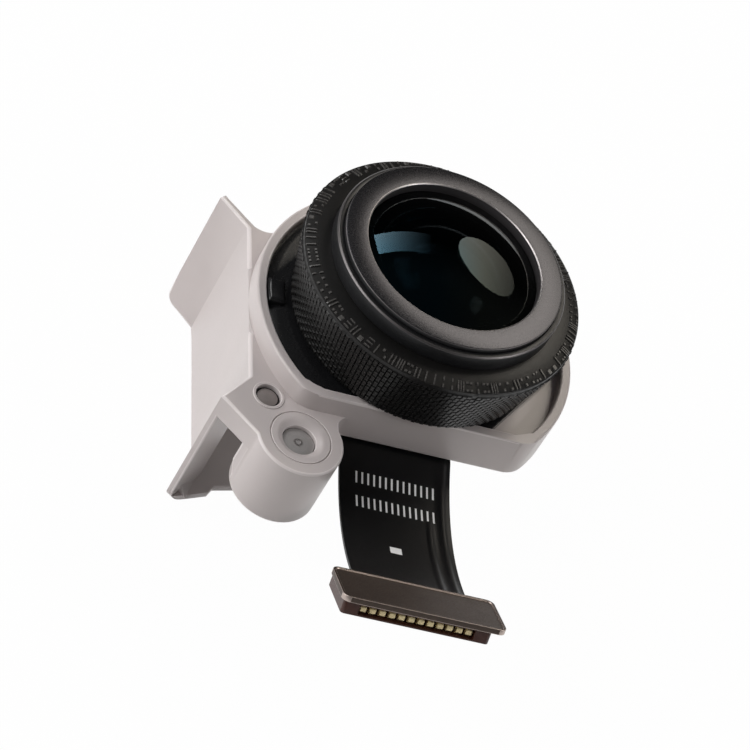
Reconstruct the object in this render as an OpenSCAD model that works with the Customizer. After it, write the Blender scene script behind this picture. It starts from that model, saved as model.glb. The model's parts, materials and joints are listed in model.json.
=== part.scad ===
// Vision sensor module: a fisheye lens in a moulded bracket, with a sensor board and a flexible tail.
// Millimetres. +Z runs along the optical axis to the front, +Y is up along the side wall, +X points away
// from the side wall. The origin is on the optical axis, at the shoulder where the lens nose begins.

/* [Lens nose and bezel] */
// Radius of the nose that passes through a housing's window
nose_r = 6.2; // [6:0.05:6.5]
// Length of the nose, from its shoulder to its front edge
nose_len = 0.95; // [0.8:0.05:1.2]
// Bevel on the nose's front edge
nose_bevel = 0.08; // [0.04:0.01:0.15]
// Wall of the nose round the bezel ring
nose_rim = 0.3; // [0.25:0.01:0.4]
// Width of the bezel ring
bezel_w = 1.2; // [1.1:0.02:1.3]
// Height of the bezel ring above the nose's front edge
bezel_proud = 0.35; // [0.2:0.05:0.5]
// Depth of the bezel ring's seat below the nose's front edge
bezel_seat = 0.3; // [0.2:0.05:0.4]
// Bevel on the bezel ring's outer front edge
bezel_bevel = 0.08; // [0.05:0.01:0.12]
// Bevel on the bezel ring's inner front edge
bezel_lip = 0.06; // [0.04:0.01:0.1]

/* [Grip band] */
// Width of the band's rear edge
grip_rear_w = 0.73; // [0.6:0.01:0.85]
// Flare of the band's radius from its rear edge to its front edge
grip_flare = 0.85; // [0.7:0.05:1]
// Width of the flat front lip, up to the milled bevel
grip_lip_w = 0.58; // [0.45:0.01:0.7]
// Drop of the milled bevel
grip_bevel = 0.3; // [0.2:0.05:0.5]
// Height of the straight edge below the bevel
grip_edge = 0.2; // [0.1:0.05:0.4]
// Length of the band along the axis
grip_len = 4.1; // [3.9:0.05:4.2]
// Step from the nose in to the barrel's body, which the band surrounds
grip_step = 0.3; // [0.25:0.01:0.4]

/* [Lens stack] */
// Lap of the bezel ring over the front lens's rim
front_lap = 0.62; // [0.5:0.02:0.7]
// Thickness of the front lens at its rim
front_rim_t = 0.8; // [0.7:0.05:1]
// Radius of curvature of the front dome
dome_curve_r = 8.2; // [7.5:0.1:9.5]
// Height of the dome's edge above the front lens's rim
dome_edge_h = 0.12; // [0.05:0.01:0.2]
// Distance of that lens's rear hollow inside the radius of the lenses behind it
front_hollow_inset = 0.2; // [0.1:0.02:0.3]
// Radius of curvature of that hollow
front_hollow_curve_r = 4.4; // [4.2:0.1:5]
// Thickness of the seal ring's cord
seal_d = 0.5; // [0.4:0.05:0.6]
// Distance of the middle of the seal ring's cord inside the front lens's edge
seal_inset = 0.38; // [0.35:0.01:0.42]
// Radius of the lenses behind the front lens
rear_lens_r = 3.6; // [3.55:0.05:3.75]
// Thickness of the barrel's lip between the front lens and the second
barrel_lip_t = 0.75; // [0.7:0.05:0.9]
// Thickness of the second lens at its rim
second_rim_t = 0.75; // [0.7:0.05:0.9]
// Thickness of the third lens at its rim
third_rim_t = 0.5; // [0.4:0.05:0.6]
// Thickness of the fourth lens at its rim
fourth_rim_t = 0.6; // [0.55:0.05:0.65]
// Thickness of the fifth lens at its rim
fifth_rim_t = 0.65; // [0.6:0.05:0.7]
// Thickness of the ring between the second lens and the third
spacer_t = 0.35; // [0.3:0.05:0.45]
// Thickness of the ring between the third lens and the stop
stop_spacer_t = 0.5; // [0.45:0.05:0.55]
// Thickness of the aperture stop
stop_t = 0.12; // [0.08:0.02:0.16]
// Radius of the hole in the aperture stop
stop_r = 0.9; // [0.6:0.05:1.2]
// Thickness of the lock ring
lock_t = 0.6; // [0.5:0.05:0.65]
// Inner radius of the rings between the lenses
ring_bore_r = 2.5; // [2.4:0.05:2.7]

/* [Inner lenses] */
// Radius of the second lens's front cap
second_cap_r = 3; // [2.8:0.1:3.2]
// Radius of curvature of that cap
second_cap_curve = 9; // [8:0.5:12]
// Radius of curvature of the hollow behind the second lens
second_hollow_curve = 3.2; // [3:0.1:4]
// Distance of the lenses' curved faces inside the bores of the rings between them
cap_inset = 0.25; // [0.15:0.05:0.35]
// Radius of curvature of the third lens's front cap
third_cap_curve = 4; // [3.8:0.1:5]
// Radius of curvature of the third lens's rear cap
third_rear_curve = 6; // [5.5:0.5:8]
// Radius of the cemented face between the fourth lens and the fifth
cement_r = 2.4; // [2.2:0.1:2.6]
// Radius of curvature of the cemented face
cement_curve = 7; // [6.5:0.5:9]
// Radius of curvature of the fifth lens's rear cap
fifth_cap_curve = 5; // [4.5:0.5:7]

/* [Lens holder] */
// Step from the barrel's body in to its screwed rear end
shank_step = 0.9; // [0.85:0.01:1]
// Gap between the barrel's rear end and the filter
filter_gap = 0.18; // [0.1:0.02:0.3]
// Gap between the band's rear edge and the holder's flange
flange_gap = 0.35; // [0.31:0.01:0.5]
// Wall of the holder's tube
holder_wall = 0.38; // [0.34:0.01:0.4]
// Thickness of the holder's flange
flange_t = 0.55; // [0.5:0.05:0.6]
// Ramp on the flange's outer edge
flange_ramp = 0.25; // [0.15:0.05:0.35]
// Width of the key at the flange's left
key_w = 1.5; // [1.2:0.1:2]
// Height of the key above the flange
key_h = 0.3; // [0.15:0.05:0.32]
// Radial length of the key
key_len = 0.9; // [0.7:0.05:1]
// Thickness of the floor that carries the filter
holder_floor_t = 0.25; // [0.2:0.05:0.3]
// Width of the window in that floor, across X
window_w = 5.4; // [5:0.1:5.8]
// Height of the window, across Y
window_h = 4.6; // [4.2:0.1:5]
// Direction of the flat that trims the flange at its lower right
trim_angle = -38; // [-42:1:-34]
// Distance of that flat from the collar's middle
trim_r = 6.6; // [6.4:0.05:6.8]

/* [Bracket collar and plate] */
// Outer radius of the collar
collar_r = 8.7; // [8.6:0.05:8.9]
// Shift of the collar's middle from the optical axis, away from the side wall
collar_shift = 0.2; // [0.1:0.02:0.3]
// Distance of the collar's lower flat from the axis
flat_y = 6.25; // [6.2:0.02:6.4]
// Radius of the corners at the ends of the flat
flat_corner_r = 1.5; // [1.2:0.1:1.8]
// Wall of the collar round its pocket
rim_wall = 0.55; // [0.45:0.05:0.6]
// Depth of the pocket below the rim
pocket_depth = 0.75; // [0.7:0.05:0.85]
// Height of the collar from its rear face to its rim
collar_h = 2.55; // [2.5:0.05:2.7]
// Radius of the round on the rim's outer edge
rim_round = 0.15; // [0.1:0.01:0.25]
// Thickness of the plate that carries the boss
plate_t = 1.35; // [1.25:0.05:1.5]
// Distance of the plate's right edge inside the boss's right side
plate_side_inset = 0.23; // [0.1:0.01:0.4]
// Radius of the hollow corner between the plate's right edge and the collar
plate_corner_r = 0.5; // [0.4:0.05:0.6]
// Radius of the hollow curve between the upper tab and the collar
gusset_r = 1.2; // [1:0.05:1.4]

/* [Side wall and tabs] */
// Thickness of the wall and the tabs
wall_t = 0.35; // [0.3:0.05:0.5]
// Half height of the flat wall between its two creases
crease_y = 5.05; // [4.8:0.05:5.2]
// Angle by which the tabs flare out from the wall
tab_angle = 41.5; // [35:0.5:45]
// Length of the tabs from the crease to the free edge
tab_len = 2.2; // [2:0.05:2.4]
// Depth of the wall and the tabs along the axis, from the plate's front face
wall_depth = 8.5; // [8:0.05:9]
// Radius of the tabs' rear corners
tab_corner_r = 0.6; // [0.4:0.05:0.8]
// Thickness of the turned-in flange at the lower tab's rear end
rear_flange_t = 0.35; // [0.3:0.05:0.5]
// Reach of that flange from the wall towards the axis
rear_flange_reach = 2.9; // [2.6:0.05:3.2]
// Height of that flange along the wall, above the lower crease
rear_flange_lap = 5.2; // [4.8:0.1:5.6]
// Width of the flange's foot, from the tab's free edge
rear_foot_w = 1.1; // [0.9:0.05:1.2]
// Rise of the foot from the tab's free edge
rear_foot_rise = 0.4; // [0.3:0.05:0.5]
// Width of the slope beside the foot
rear_slope_w = 0.95; // [0.8:0.05:1.1]
// Rise of the slope beside the foot
rear_slope_h = 0.4; // [0.3:0.05:0.5]
// Width of the steep bevel above that slope
rear_bevel_w = 0.25; // [0.15:0.05:0.35]
// Rise of that steep bevel
rear_bevel_h = 0.4; // [0.3:0.05:0.5]
// Rise of the flange's lower edge from the bevel to its inner end
rear_edge_rise = 0.6; // [0.45:0.05:0.75]
// Width of the wedge between the flange and the tab, at the tab's free edge
wedge_w = 0.55; // [0.45:0.05:0.65]

/* [Boss and datum hole] */
// Gap between the boss and the tail beside it
boss_gap = 0.5; // [0.4:0.05:0.6]
// Distance of the boss's middle below the collar's flat
boss_drop = 1.95; // [1.9:0.05:2.05]
// Outer radius of the boss
boss_r = 2.3; // [2.2:0.05:2.35]
// Length of the boss from the plate's front face
boss_len = 4.1; // [3.8:0.05:4.4]
// Angle on the boss at which the plate's slanting edge meets it
lead_angle = 188.4; // [186:0.2:192]
// Length and thickness of the flat that runs from the boss along that edge
lead_len = 0.5; // [0.3:0.05:0.7]
// Length over which that flat runs out at the boss's rear end
lead_slope = 1.3; // [1:0.1:1.6]
// Radius of the fine ring groove round the boss's hole
groove_r = 1.6; // [1.55:0.05:1.7]
// Width and depth of that groove
groove_w = 0.07; // [0.04:0.01:0.1]
// Radius of the countersink at the boss's front face
sink_r = 1.3; // [1.2:0.05:1.4]
// Radius of the hole at the bottom of the countersink
sink_hole_r = 0.9; // [0.8:0.05:1]
// Depth of the countersink
sink_depth = 0.2; // [0.15:0.01:0.3]
// Depth of the insert's front end below the boss's face
insert_depth = 0.26; // [0.22:0.01:0.4]
// Length of the insert's narrow front end
insert_neck = 0.4; // [0.3:0.05:0.5]
// Outer radius of the insert
insert_r = 1.35; // [1.25:0.05:1.45]
// Radius of the insert's threaded hole, at the thread's crests
thread_r = 0.625; // [0.55:0.005:0.7]
// Depth of the threaded hole
thread_depth = 2.6; // [2.2:0.1:2.8]
// Radius of the small turned ring on the insert's front end
pip_r = 0.2; // [0.15:0.01:0.25]
// Width of that ring
pip_w = 0.06; // [0.04:0.01:0.08]
// Height of that ring
pip_h = 0.03; // [0.02:0.01:0.05]
// Distance of the datum hole's middle from the side wall's outer face
datum_inset = 1; // [0.95:0.01:1.05]
// Distance of the datum hole's middle below the lower crease
datum_drop = 0.95; // [0.9:0.01:1]
// Radius of the datum hole
datum_r = 0.68; // [0.62:0.01:0.7]
// Width of the raised ring round the datum hole
datum_ring_w = 0.15; // [0.12:0.01:0.18]
// Height of that ring
datum_ring_h = 0.06; // [0.03:0.01:0.1]
// Depth of the datum hole
datum_depth = 1; // [0.8:0.05:1.1]
// Gap round the datum pin
datum_gap = 0.06; // [0.04:0.01:0.1]
// Radius of curvature of the datum pin's domed end
datum_dome_r = 1.8; // [1.5:0.1:2.2]
// Depth of the dome's crown below the plate's face
datum_pin_drop = 0.05; // [0.03:0.01:0.1]

/* [Sensor board] */
// Width of the board, across X
board_w = 13.3; // [13:0.1:13.4]
// Height of the board's upper edge above the axis
board_top_y = 5.4; // [5.2:0.1:5.5]
// Distance of the board's lower edge above the collar's flat
board_gap = 0.6; // [0.55:0.05:0.7]
// Corner cut of the board
board_cut = 1.5; // [1.3:0.1:1.7]
// Thickness of the board
board_t = 0.6; // [0.5:0.05:0.8]
// Thickness of the stiffener
stiffener_t = 0.2; // [0.15:0.05:0.3]
// Margin of the stiffener inside the board's edge
stiffener_margin = 0.4; // [0.3:0.05:0.5]
// Distance of the screws inside the board's sides
screw_inset = 0.9; // [0.85:0.01:0.95]
// Distance of the screws below the board's upper edge
screw_drop = 1.5; // [1.45:0.01:1.55]
// Radius of the screws' threaded part
screw_r = 0.4; // [0.35:0.01:0.45]
// Radius of the screws' heads
screw_head_r = 0.78; // [0.7:0.02:0.84]
// Height of the screws' heads
screw_head_h = 0.4; // [0.3:0.05:0.5]
// Width of the cross recess in the heads
recess_w = 0.22; // [0.18:0.01:0.26]
// Depth of the cross recess
recess_d = 0.18; // [0.12:0.01:0.22]
// Margin between the ends of the cross recess and the head's edge
recess_margin = 0.31; // [0.25:0.01:0.36]
// Length of the screws in the bracket
screw_bite = 1.2; // [1:0.05:1.4]
// Width of the image sensor, across X
sensor_w = 6.2; // [6:0.1:6.4]
// Height of the image sensor, across Y
sensor_h = 5.4; // [5:0.1:5.6]
// Thickness of the image sensor's package
sensor_t = 0.42; // [0.38:0.02:0.46]
// Thickness of the glass on the sensor
sensor_glass_t = 0.15; // [0.1:0.01:0.18]
// Distance of that glass inside the sensor's edge
sensor_glass_inset = 0.2; // [0.1:0.05:0.3]
// Distance of the square filter's corners inside the holder's bore
filter_inset = 0.35; // [0.25:0.05:0.5]
// Thickness of the filter
filter_t = 0.2; // [0.15:0.01:0.24]
// Side of the square chip on the board's rear
chip_w = 3.2; // [2.8:0.1:3.4]
// Thickness of that chip
chip_t = 0.6; // [0.5:0.05:0.8]
// Height of the chip's middle above the axis
chip_y = 1.2; // [1:0.1:1.4]
// Number of capacitors below the chip
capacitor_count = 5; // [3:1:6]
// Spacing of the capacitors
capacitor_pitch = 0.9; // [0.8:0.05:1]
// Length of a capacitor
capacitor_len = 0.6; // [0.5:0.05:0.7]
// Width of a capacitor
capacitor_w = 0.3; // [0.25:0.05:0.4]
// Height of a capacitor
capacitor_h = 0.3; // [0.25:0.05:0.4]
// Distance of the capacitors' middle below the chip
capacitor_gap = 1; // [0.8:0.1:1.2]
// Margin of the stiffener's window round those parts
window_margin = 0.5; // [0.3:0.05:0.6]

/* [Flexible tail] */
// Width of the tail
tail_w = 6; // [5.8:0.1:6.2]
// Thickness of the tail
tail_t = 0.15; // [0.12:0.01:0.2]
// Slope of the tail to the rear where it leaves the bracket
tail_back_angle = 13; // [10:0.5:16]
// Slope of the tail to the front where it reaches the connector
tail_front_angle = 27; // [24:0.5:30]
// Radius of the tight bend at the board
tail_tight_r = 1.5; // [1.3:0.1:1.8]
// Radius of the long bend
tail_bend_r = 13.7; // [12.5:0.1:15]
// Straight length between the board and the tight bend
tail_lead = 0.4; // [0.3:0.05:0.6]
// Length of the tail inside the board's edge
tail_tongue = 0.8; // [0.6:0.05:1]

/* [Connector] */
// Width of the cover plate
cover_w = 8.5; // [8.2:0.1:8.8]
// Length of the cover plate along the tail
cover_len = 3.2; // [3:0.05:3.4]
// Thickness of the cover plate
cover_t = 0.3; // [0.25:0.05:0.4]
// Radius of the cover plate's corners
cover_corner_r = 0.4; // [0.3:0.05:0.5]
// Width of the cover plate's raised rim
cover_rim_w = 0.14; // [0.1:0.02:0.2]
// Height of the raised rim above the plate's face
cover_rim_h = 0.05; // [0.03:0.01:0.08]
// Width of the housing
housing_w = 7.7; // [7.5:0.1:7.9]
// Shift of the housing to the left of the cover's middle
housing_shift = 0.25; // [0.2:0.01:0.3]
// Height of the housing behind the tail
housing_h = 0.55; // [0.5:0.01:0.65]
// Distance of the housing's open edge behind the cover's free edge
housing_inset = 0.15; // [0.1:0.05:0.25]
// Number of contacts
contact_count = 12; // [10:1:13]
// Spacing of the contacts
contact_pitch = 0.5; // [0.48:0.01:0.52]
// Width of a contact
contact_w = 0.3; // [0.24:0.01:0.34]
// Depth of the slot that holds the contacts
slot_depth = 0.5; // [0.4:0.05:0.6]
// Wall of the housing above and below the slot
slot_wall = 0.1; // [0.08:0.01:0.12]
// Bevel on the contacts' tips
tip_bevel = 0.14; // [0.1:0.01:0.16]

/* [Fits] */
// Clearance between turned and moulded pieces that fit into each other
fit = 0.02; // [0.01:0.005:0.03]
// Clearance of flat pieces in their recesses
play = 0.05; // [0.04:0.01:0.08]

/* [Hidden] */
$fn = 96;
far = 40;
root = 0.05;
corner_steps = 6;
bend_steps = 24;

// Heights along the axis, from the front to the rear
bezel_front_z = nose_len + bezel_proud;
bezel_seat_z = nose_len - bezel_seat;
front_rear_z = bezel_seat_z - front_rim_t;
second_front_z = front_rear_z - barrel_lip_t;
spacer_front_z = second_front_z - second_rim_t;
third_front_z = spacer_front_z - spacer_t;
stop_spacer_front_z = third_front_z - third_rim_t;
stop_front_z = stop_spacer_front_z - stop_spacer_t;
fourth_front_z = stop_front_z - stop_t;
fifth_front_z = fourth_front_z - fourth_rim_t;
lock_front_z = fifth_front_z - fifth_rim_t;
flange_z = -grip_len - flange_gap;
pocket_z = flange_z - flange_t;
rim_z = pocket_z + pocket_depth;
collar_rear_z = rim_z - collar_h;
plate_z = collar_rear_z + plate_t;
board_rear_z = collar_rear_z - board_t;
stiffener_rear_z = board_rear_z - stiffener_t;
wall_rear_z = plate_z - wall_depth;
boss_rear_z = plate_z - boss_len;
floor_rear_z = collar_rear_z + sensor_t + sensor_glass_t + play;
floor_front_z = floor_rear_z + holder_floor_t;
shank_rear_z = floor_front_z + filter_t + filter_gap;

// Radii that follow from the fits
body_r = nose_r - grip_step;
bezel_r = nose_r - nose_rim - fit;
bezel_bore_r = bezel_r - bezel_w;
band_bore_r = body_r + fit;
grip_rear_r = band_bore_r + grip_rear_w;
grip_r = grip_rear_r + grip_flare;
grip_lip_r = band_bore_r + grip_lip_w;
front_lens_r = bezel_bore_r + front_lap;
front_hollow_r = rear_lens_r - front_hollow_inset;
seal_r = front_lens_r - seal_inset;
cap_r = ring_bore_r - cap_inset;
shank_r = body_r - shank_step;
tube_bore_r = shank_r + fit;
tube_r = tube_bore_r + holder_wall;
opening_r = tube_r + play;
pocket_r = collar_r - rim_wall;
pocket_flat_y = flat_y - rim_wall;
flange_r = pocket_r - play;
flange_flat_y = pocket_flat_y - play;
groove_in_r = seal_r - seal_d / 2 - fit;
groove_out_r = front_lens_r + fit;
lens_bore_r = rear_lens_r + fit;
filter_w = sqrt(2) * (tube_bore_r - filter_inset);
datum_pin_r = datum_r - datum_gap;

// Places that follow from the collar, the wall and the board
wall_x = collar_r - collar_shift;
boss_x = -tail_w / 2 - boss_gap - boss_r;
boss_y = -flat_y - boss_drop;
datum_x = -wall_x + datum_inset;
datum_y = -crease_y - datum_drop;
board_low_y = flat_y - board_gap;
screw_x = board_w / 2 - screw_inset;
screw_y = board_top_y - screw_drop;

// Corners of the wall and the tabs, for the upper half
tab_dir = [-sin(tab_angle), cos(tab_angle)];
tab_in = [cos(tab_angle), sin(tab_angle)];
crease = [-wall_x, crease_y];
tip_out = crease + tab_len * tab_dir;
tip_in = tip_out + wall_t * tab_in;
crease_in = [-wall_x + wall_t, crease_y + wall_t * tan(tab_angle / 2)];

// Sag of a spherical face over an aperture
function sag(curve_r, aperture_r) = curve_r - sqrt(curve_r * curve_r - aperture_r * aperture_r);

// Points on an arc about a centre
function arc(centre, r, from, to, steps) =
    [for (i = [0 : steps]) let (a = from + (to - from) * i / steps) centre + r * [cos(a), sin(a)]];

function mirrored_y(points) = [for (p = points) [p[0], -p[1]]];
function reversed(points) = [for (i = [len(points) - 1 : -1 : 0]) points[i]];

// Tube between two heights
module ring(outer_r, inner_r, rear_z, front_z) {
    difference() {
        translate([0, 0, rear_z]) cylinder(r = outer_r, h = front_z - rear_z);
        translate([0, 0, rear_z - root]) cylinder(r = inner_r, h = front_z - rear_z + 2 * root);
    }
}

// Disc between two heights
module disc(r, rear_z, front_z) {
    translate([0, 0, rear_z]) cylinder(r = r, h = front_z - rear_z);
}

// Ball whose cap rises to the front over an aperture at height z
module front_ball(z, aperture_r, curve_r) {
    translate([0, 0, z + sag(curve_r, aperture_r) - curve_r]) sphere(r = curve_r);
}

// Ball whose cap reaches to the rear over an aperture at height z
module rear_ball(z, aperture_r, curve_r) {
    translate([0, 0, z - sag(curve_r, aperture_r) + curve_r]) sphere(r = curve_r);
}

// Spherical cap that stands on the plane at height z, to the front
module front_cap(z, aperture_r, curve_r) {
    intersection() {
        front_ball(z, aperture_r, curve_r);
        disc(aperture_r, z - root, z + curve_r);
    }
}

// Spherical cap that hangs from the plane at height z, to the rear
module rear_cap(z, aperture_r, curve_r) {
    intersection() {
        rear_ball(z, aperture_r, curve_r);
        disc(aperture_r, z - curve_r, z + root);
    }
}

// Outline that keeps what lies above a flat with round corners, inside a circle
module flat_keep(circle_r, y, corner_r, rear_z, front_z) {
    cx = sqrt(pow(circle_r - corner_r, 2) - pow(y - corner_r, 2));
    start = atan2(-y + corner_r, cx);
    right = arc([cx, -y + corner_r], corner_r, start, -90, corner_steps);
    lead = right[0] + far / 2 * (right[0] - right[1]) / norm(right[0] - right[1]);
    half = concat([[lead[0], far], lead], right);
    left = [for (p = reversed(half)) [-p[0], p[1]]];
    translate([0, 0, rear_z]) linear_extrude(front_z - rear_z) polygon(concat(half, left));
}

/* Bracket */

// Ring of the collar, rounded at its rim and cut by the flat
module collar() {
    translate([collar_shift, 0, 0]) intersection() {
        rotate_extrude() polygon([
            [0, collar_rear_z],
            [collar_r, collar_rear_z],
            each arc([collar_r - rim_round, rim_z - rim_round], rim_round, 0, 90, corner_steps),
            [0, rim_z]
        ]);
        flat_keep(collar_r, flat_y, flat_corner_r, collar_rear_z - root, rim_z + root);
    }
}

// Side wall with its two flared tabs
module wall() {
    upper = [tip_out, tip_in, crease_in];
    outline = concat([crease], upper, reversed(mirrored_y(upper)), [[crease[0], -crease[1]]]);
    translate([0, 0, wall_rear_z]) linear_extrude(wall_depth) polygon(outline);
}

// Cut that rounds the rear corner of a tab, seen along the tab's own face
module tab_corner_cut(side) {
    mirror([0, side < 0 ? 1 : 0, 0])
    translate([tip_out[0], tip_out[1], wall_rear_z])
    rotate([0, 0, tab_angle + 90])
    rotate([90, 0, 0])
    translate([0, 0, -far / 2])
    linear_extrude(far)
    difference() {
        translate([-tab_corner_r, -root]) square([tab_corner_r + root, tab_corner_r + root]);
        translate([-tab_corner_r, tab_corner_r]) circle(r = tab_corner_r);
    }
}

// Slanting edge of the plate, from the lower tab to the boss
lower_tip_in = [tip_in[0], -tip_in[1]];
lower_tip_out = [tip_out[0], -tip_out[1]];
boss_c = [boss_x, boss_y];
lead_meet = boss_c + boss_r * [cos(lead_angle), sin(lead_angle)];
lead_turn = atan2(lower_tip_in[1] - lead_meet[1], lower_tip_in[0] - lead_meet[0]);
boss_side_x = boss_x + boss_r - plate_side_inset;

// Hollow curve between the upper tab and the collar, rooted in both
collar_c = [collar_shift, 0];
gusset_start = tip_in + (gusset_r - root) * tab_in;
gusset_run = (gusset_start - collar_c) * tab_dir;
gusset_reach = pow(norm(gusset_start - collar_c), 2) - pow(collar_r + gusset_r - root, 2);
gusset_slide = sqrt(gusset_run * gusset_run - gusset_reach) - gusset_run;
gusset_c = gusset_start + gusset_slide * tab_dir;
gusset_end = atan2(collar_c[1] - gusset_c[1], collar_c[0] - gusset_c[0]);

module plate() {
    translate([0, 0, collar_rear_z]) linear_extrude(plate_t) polygon([
        crease,
        [crease[0], -crease[1]],
        lower_tip_out,
        lower_tip_in,
        lead_meet,
        boss_c,
        [boss_side_x, boss_y],
        each arc(
            [boss_side_x + plate_corner_r, -flat_y - plate_corner_r],
            plate_corner_r, 180, 90, corner_steps
        ),
        [boss_side_x + plate_corner_r, -pocket_flat_y],
        [0, -pocket_flat_y],
        collar_c,
        each arc(gusset_c, gusset_r, gusset_end, tab_angle - 180, 2 * corner_steps)
    ]);
}

module boss() {
    translate([boss_x, boss_y, boss_rear_z]) cylinder(r = boss_r, h = boss_len);
    translate([lead_meet[0], lead_meet[1], 0])
        rotate([90, 0, lead_turn]) translate([0, 0, root]) linear_extrude(lead_len) polygon([
            [-boss_r / 2, boss_rear_z + root],
            [0, boss_rear_z + root],
            [lead_len, boss_rear_z + lead_slope],
            [lead_len, plate_z - root],
            [-boss_r / 2, plate_z - root]
        ]);
}

// Turned-in flange at the rear end of the lower tab
module rear_flange() {
    reach_x = -wall_x + wall_t + rear_flange_reach;
    foot = lower_tip_in + [rear_foot_w, rear_foot_rise];
    slope_end = foot + [rear_slope_w, rear_slope_h];
    bevel_end = slope_end + [rear_bevel_w, rear_bevel_h];
    lap_y = -crease_y + rear_flange_lap;
    translate([0, 0, wall_rear_z]) linear_extrude(rear_flange_t) polygon([
        lower_tip_out,
        lower_tip_in,
        foot,
        slope_end,
        bevel_end,
        [reach_x, bevel_end[1] + rear_edge_rise],
        [reach_x, lap_y],
        [-wall_x + wall_t / 2, lap_y],
        [-wall_x + wall_t / 2, -crease_y]
    ]);
}

// Wedge between the lower tab and the rear flange, wide at the free edge and rooted in the tab
module flange_wedge() {
    inner = [crease_in[0], -crease_in[1]];
    front_z = wall_rear_z + rear_flange_t;
    along = (inner - lower_tip_in) / norm(inner - lower_tip_in);
    across = [-along[1], along[0]];
    wide = lower_tip_in + tab_corner_r * along;
    wide_root = wide + root * across;
    wide_edge = wide - wedge_w * across;
    narrow_root = inner - root * along + root * across;
    polyhedron(
        points = [
            [wide_root[0], wide_root[1], front_z - root],
            [wide_edge[0], wide_edge[1], front_z - root],
            [wide_root[0], wide_root[1], front_z + wedge_w],
            [narrow_root[0], narrow_root[1], front_z - root]
        ],
        faces = [[0, 1, 2], [0, 2, 3], [0, 3, 1], [1, 3, 2]]
    );
}

module boss_holes() {
    insert_front_z = plate_z - insert_depth;
    translate([boss_x, boss_y, 0]) {
        disc(insert_r + fit, boss_rear_z - root, insert_front_z - insert_neck);
        disc(sink_hole_r, insert_front_z - insert_neck - root, plate_z);
        translate([0, 0, plate_z - sink_depth]) cylinder(r1 = sink_hole_r, r2 = sink_r, h = sink_depth);
        ring(groove_r + groove_w / 2, groove_r - groove_w / 2, plate_z - groove_w, plate_z + root);
    }
}

module bracket() {
    color([0.78, 0.75, 0.74]) difference() {
        union() {
            collar();
            plate();
            wall();
            boss();
            rear_flange();
            flange_wedge();
            translate([datum_x, datum_y, 0])
                disc(datum_r + datum_ring_w, plate_z - root, plate_z + datum_ring_h);
        }
        translate([collar_shift, 0, 0]) intersection() {
            disc(pocket_r, pocket_z, rim_z + root);
            flat_keep(pocket_r, pocket_flat_y, flat_corner_r, pocket_z - root, rim_z + 2 * root);
        }
        disc(opening_r, collar_rear_z - root, pocket_z + root);
        boss_holes();
        translate([datum_x, datum_y, 0])
            disc(datum_r, plate_z - datum_depth, plate_z + datum_ring_h + root);
        for (side = [-1, 1]) {
            translate([side * screw_x, screw_y, 0])
                disc(screw_r + fit, collar_rear_z - root, collar_rear_z + screw_bite + play);
            tab_corner_cut(side);
        }
    }
}

module boss_insert() {
    front_z = plate_z - insert_depth;
    neck_z = front_z - insert_neck;
    color([0.5, 0.5, 0.52]) translate([boss_x, boss_y, 0]) {
        difference() {
            union() {
                disc(insert_r, boss_rear_z, neck_z - fit);
                disc(sink_hole_r - fit, neck_z - 2 * fit, front_z);
            }
            disc(thread_r, boss_rear_z - root, boss_rear_z + thread_depth);
        }
        ring(pip_r + pip_w / 2, pip_r - pip_w / 2, front_z - pip_h, front_z + pip_h);
    }
}

module datum_pin() {
    crown_z = plate_z - datum_pin_drop;
    rear_z = plate_z - datum_depth;
    edge_z = crown_z - sag(datum_dome_r, datum_pin_r);
    color([0.42, 0.39, 0.38]) translate([datum_x, datum_y, 0]) {
        disc(datum_pin_r, rear_z, edge_z);
        front_cap(edge_z, datum_pin_r, datum_dome_r);
    }
}

/* Lens and holder */

module lens_holder() {
    key_in_r = flange_r - key_len;
    key_front_z = flange_z + key_h;
    color([0.05, 0.05, 0.055]) difference() {
        union() {
            translate([collar_shift, 0, 0]) intersection() {
                union() {
                    disc(flange_r, pocket_z, flange_z - flange_ramp);
                    translate([0, 0, flange_z - flange_ramp - root])
                        cylinder(r1 = flange_r, r2 = flange_r - 2 * flange_ramp, h = flange_ramp + root);
                    intersection() {
                        ring(flange_r, key_in_r, pocket_z, key_front_z);
                        translate([-flange_r - root, -key_w / 2, pocket_z]) cube([flange_r, key_w, far]);
                    }
                }
                flat_keep(flange_r, flange_flat_y, flat_corner_r, pocket_z - root, key_front_z + root);
                rotate([0, 0, trim_angle]) translate([trim_r - far, -far / 2, pocket_z - far / 2])
                    cube(far);
            }
            disc(tube_r, collar_rear_z, pocket_z + root);
        }
        disc(tube_bore_r, floor_front_z, key_front_z + root);
        disc(tube_bore_r - holder_wall / 2, collar_rear_z - root, floor_rear_z);
        translate([-window_w / 2, -window_h / 2, floor_rear_z - root])
            cube([window_w, window_h, holder_floor_t + 2 * root]);
    }
}

module lens_barrel() {
    color([0.04, 0.04, 0.045]) rotate_extrude() polygon([
        [lens_bore_r, shank_rear_z],
        [shank_r, shank_rear_z],
        [shank_r, -grip_len],
        [body_r, -grip_len],
        [body_r, 0],
        [nose_r, 0],
        [nose_r, nose_len - nose_bevel],
        [nose_r - nose_bevel, nose_len],
        [bezel_r + fit, nose_len],
        [bezel_r + fit, bezel_seat_z],
        [groove_out_r, bezel_seat_z],
        [groove_out_r, front_rear_z - seal_d],
        [groove_in_r, front_rear_z - seal_d],
        [groove_in_r, front_rear_z],
        [front_hollow_r + play, front_rear_z],
        [front_hollow_r + play, second_front_z],
        [lens_bore_r, second_front_z]
    ]);
}

module grip_band() {
    color([0.05, 0.05, 0.052]) rotate_extrude() polygon([
        [band_bore_r, -grip_len],
        [grip_rear_r, -grip_len],
        [grip_r, -grip_bevel - grip_edge],
        [grip_r, -grip_bevel],
        [grip_lip_r, 0],
        [band_bore_r, 0]
    ]);
}

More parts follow.
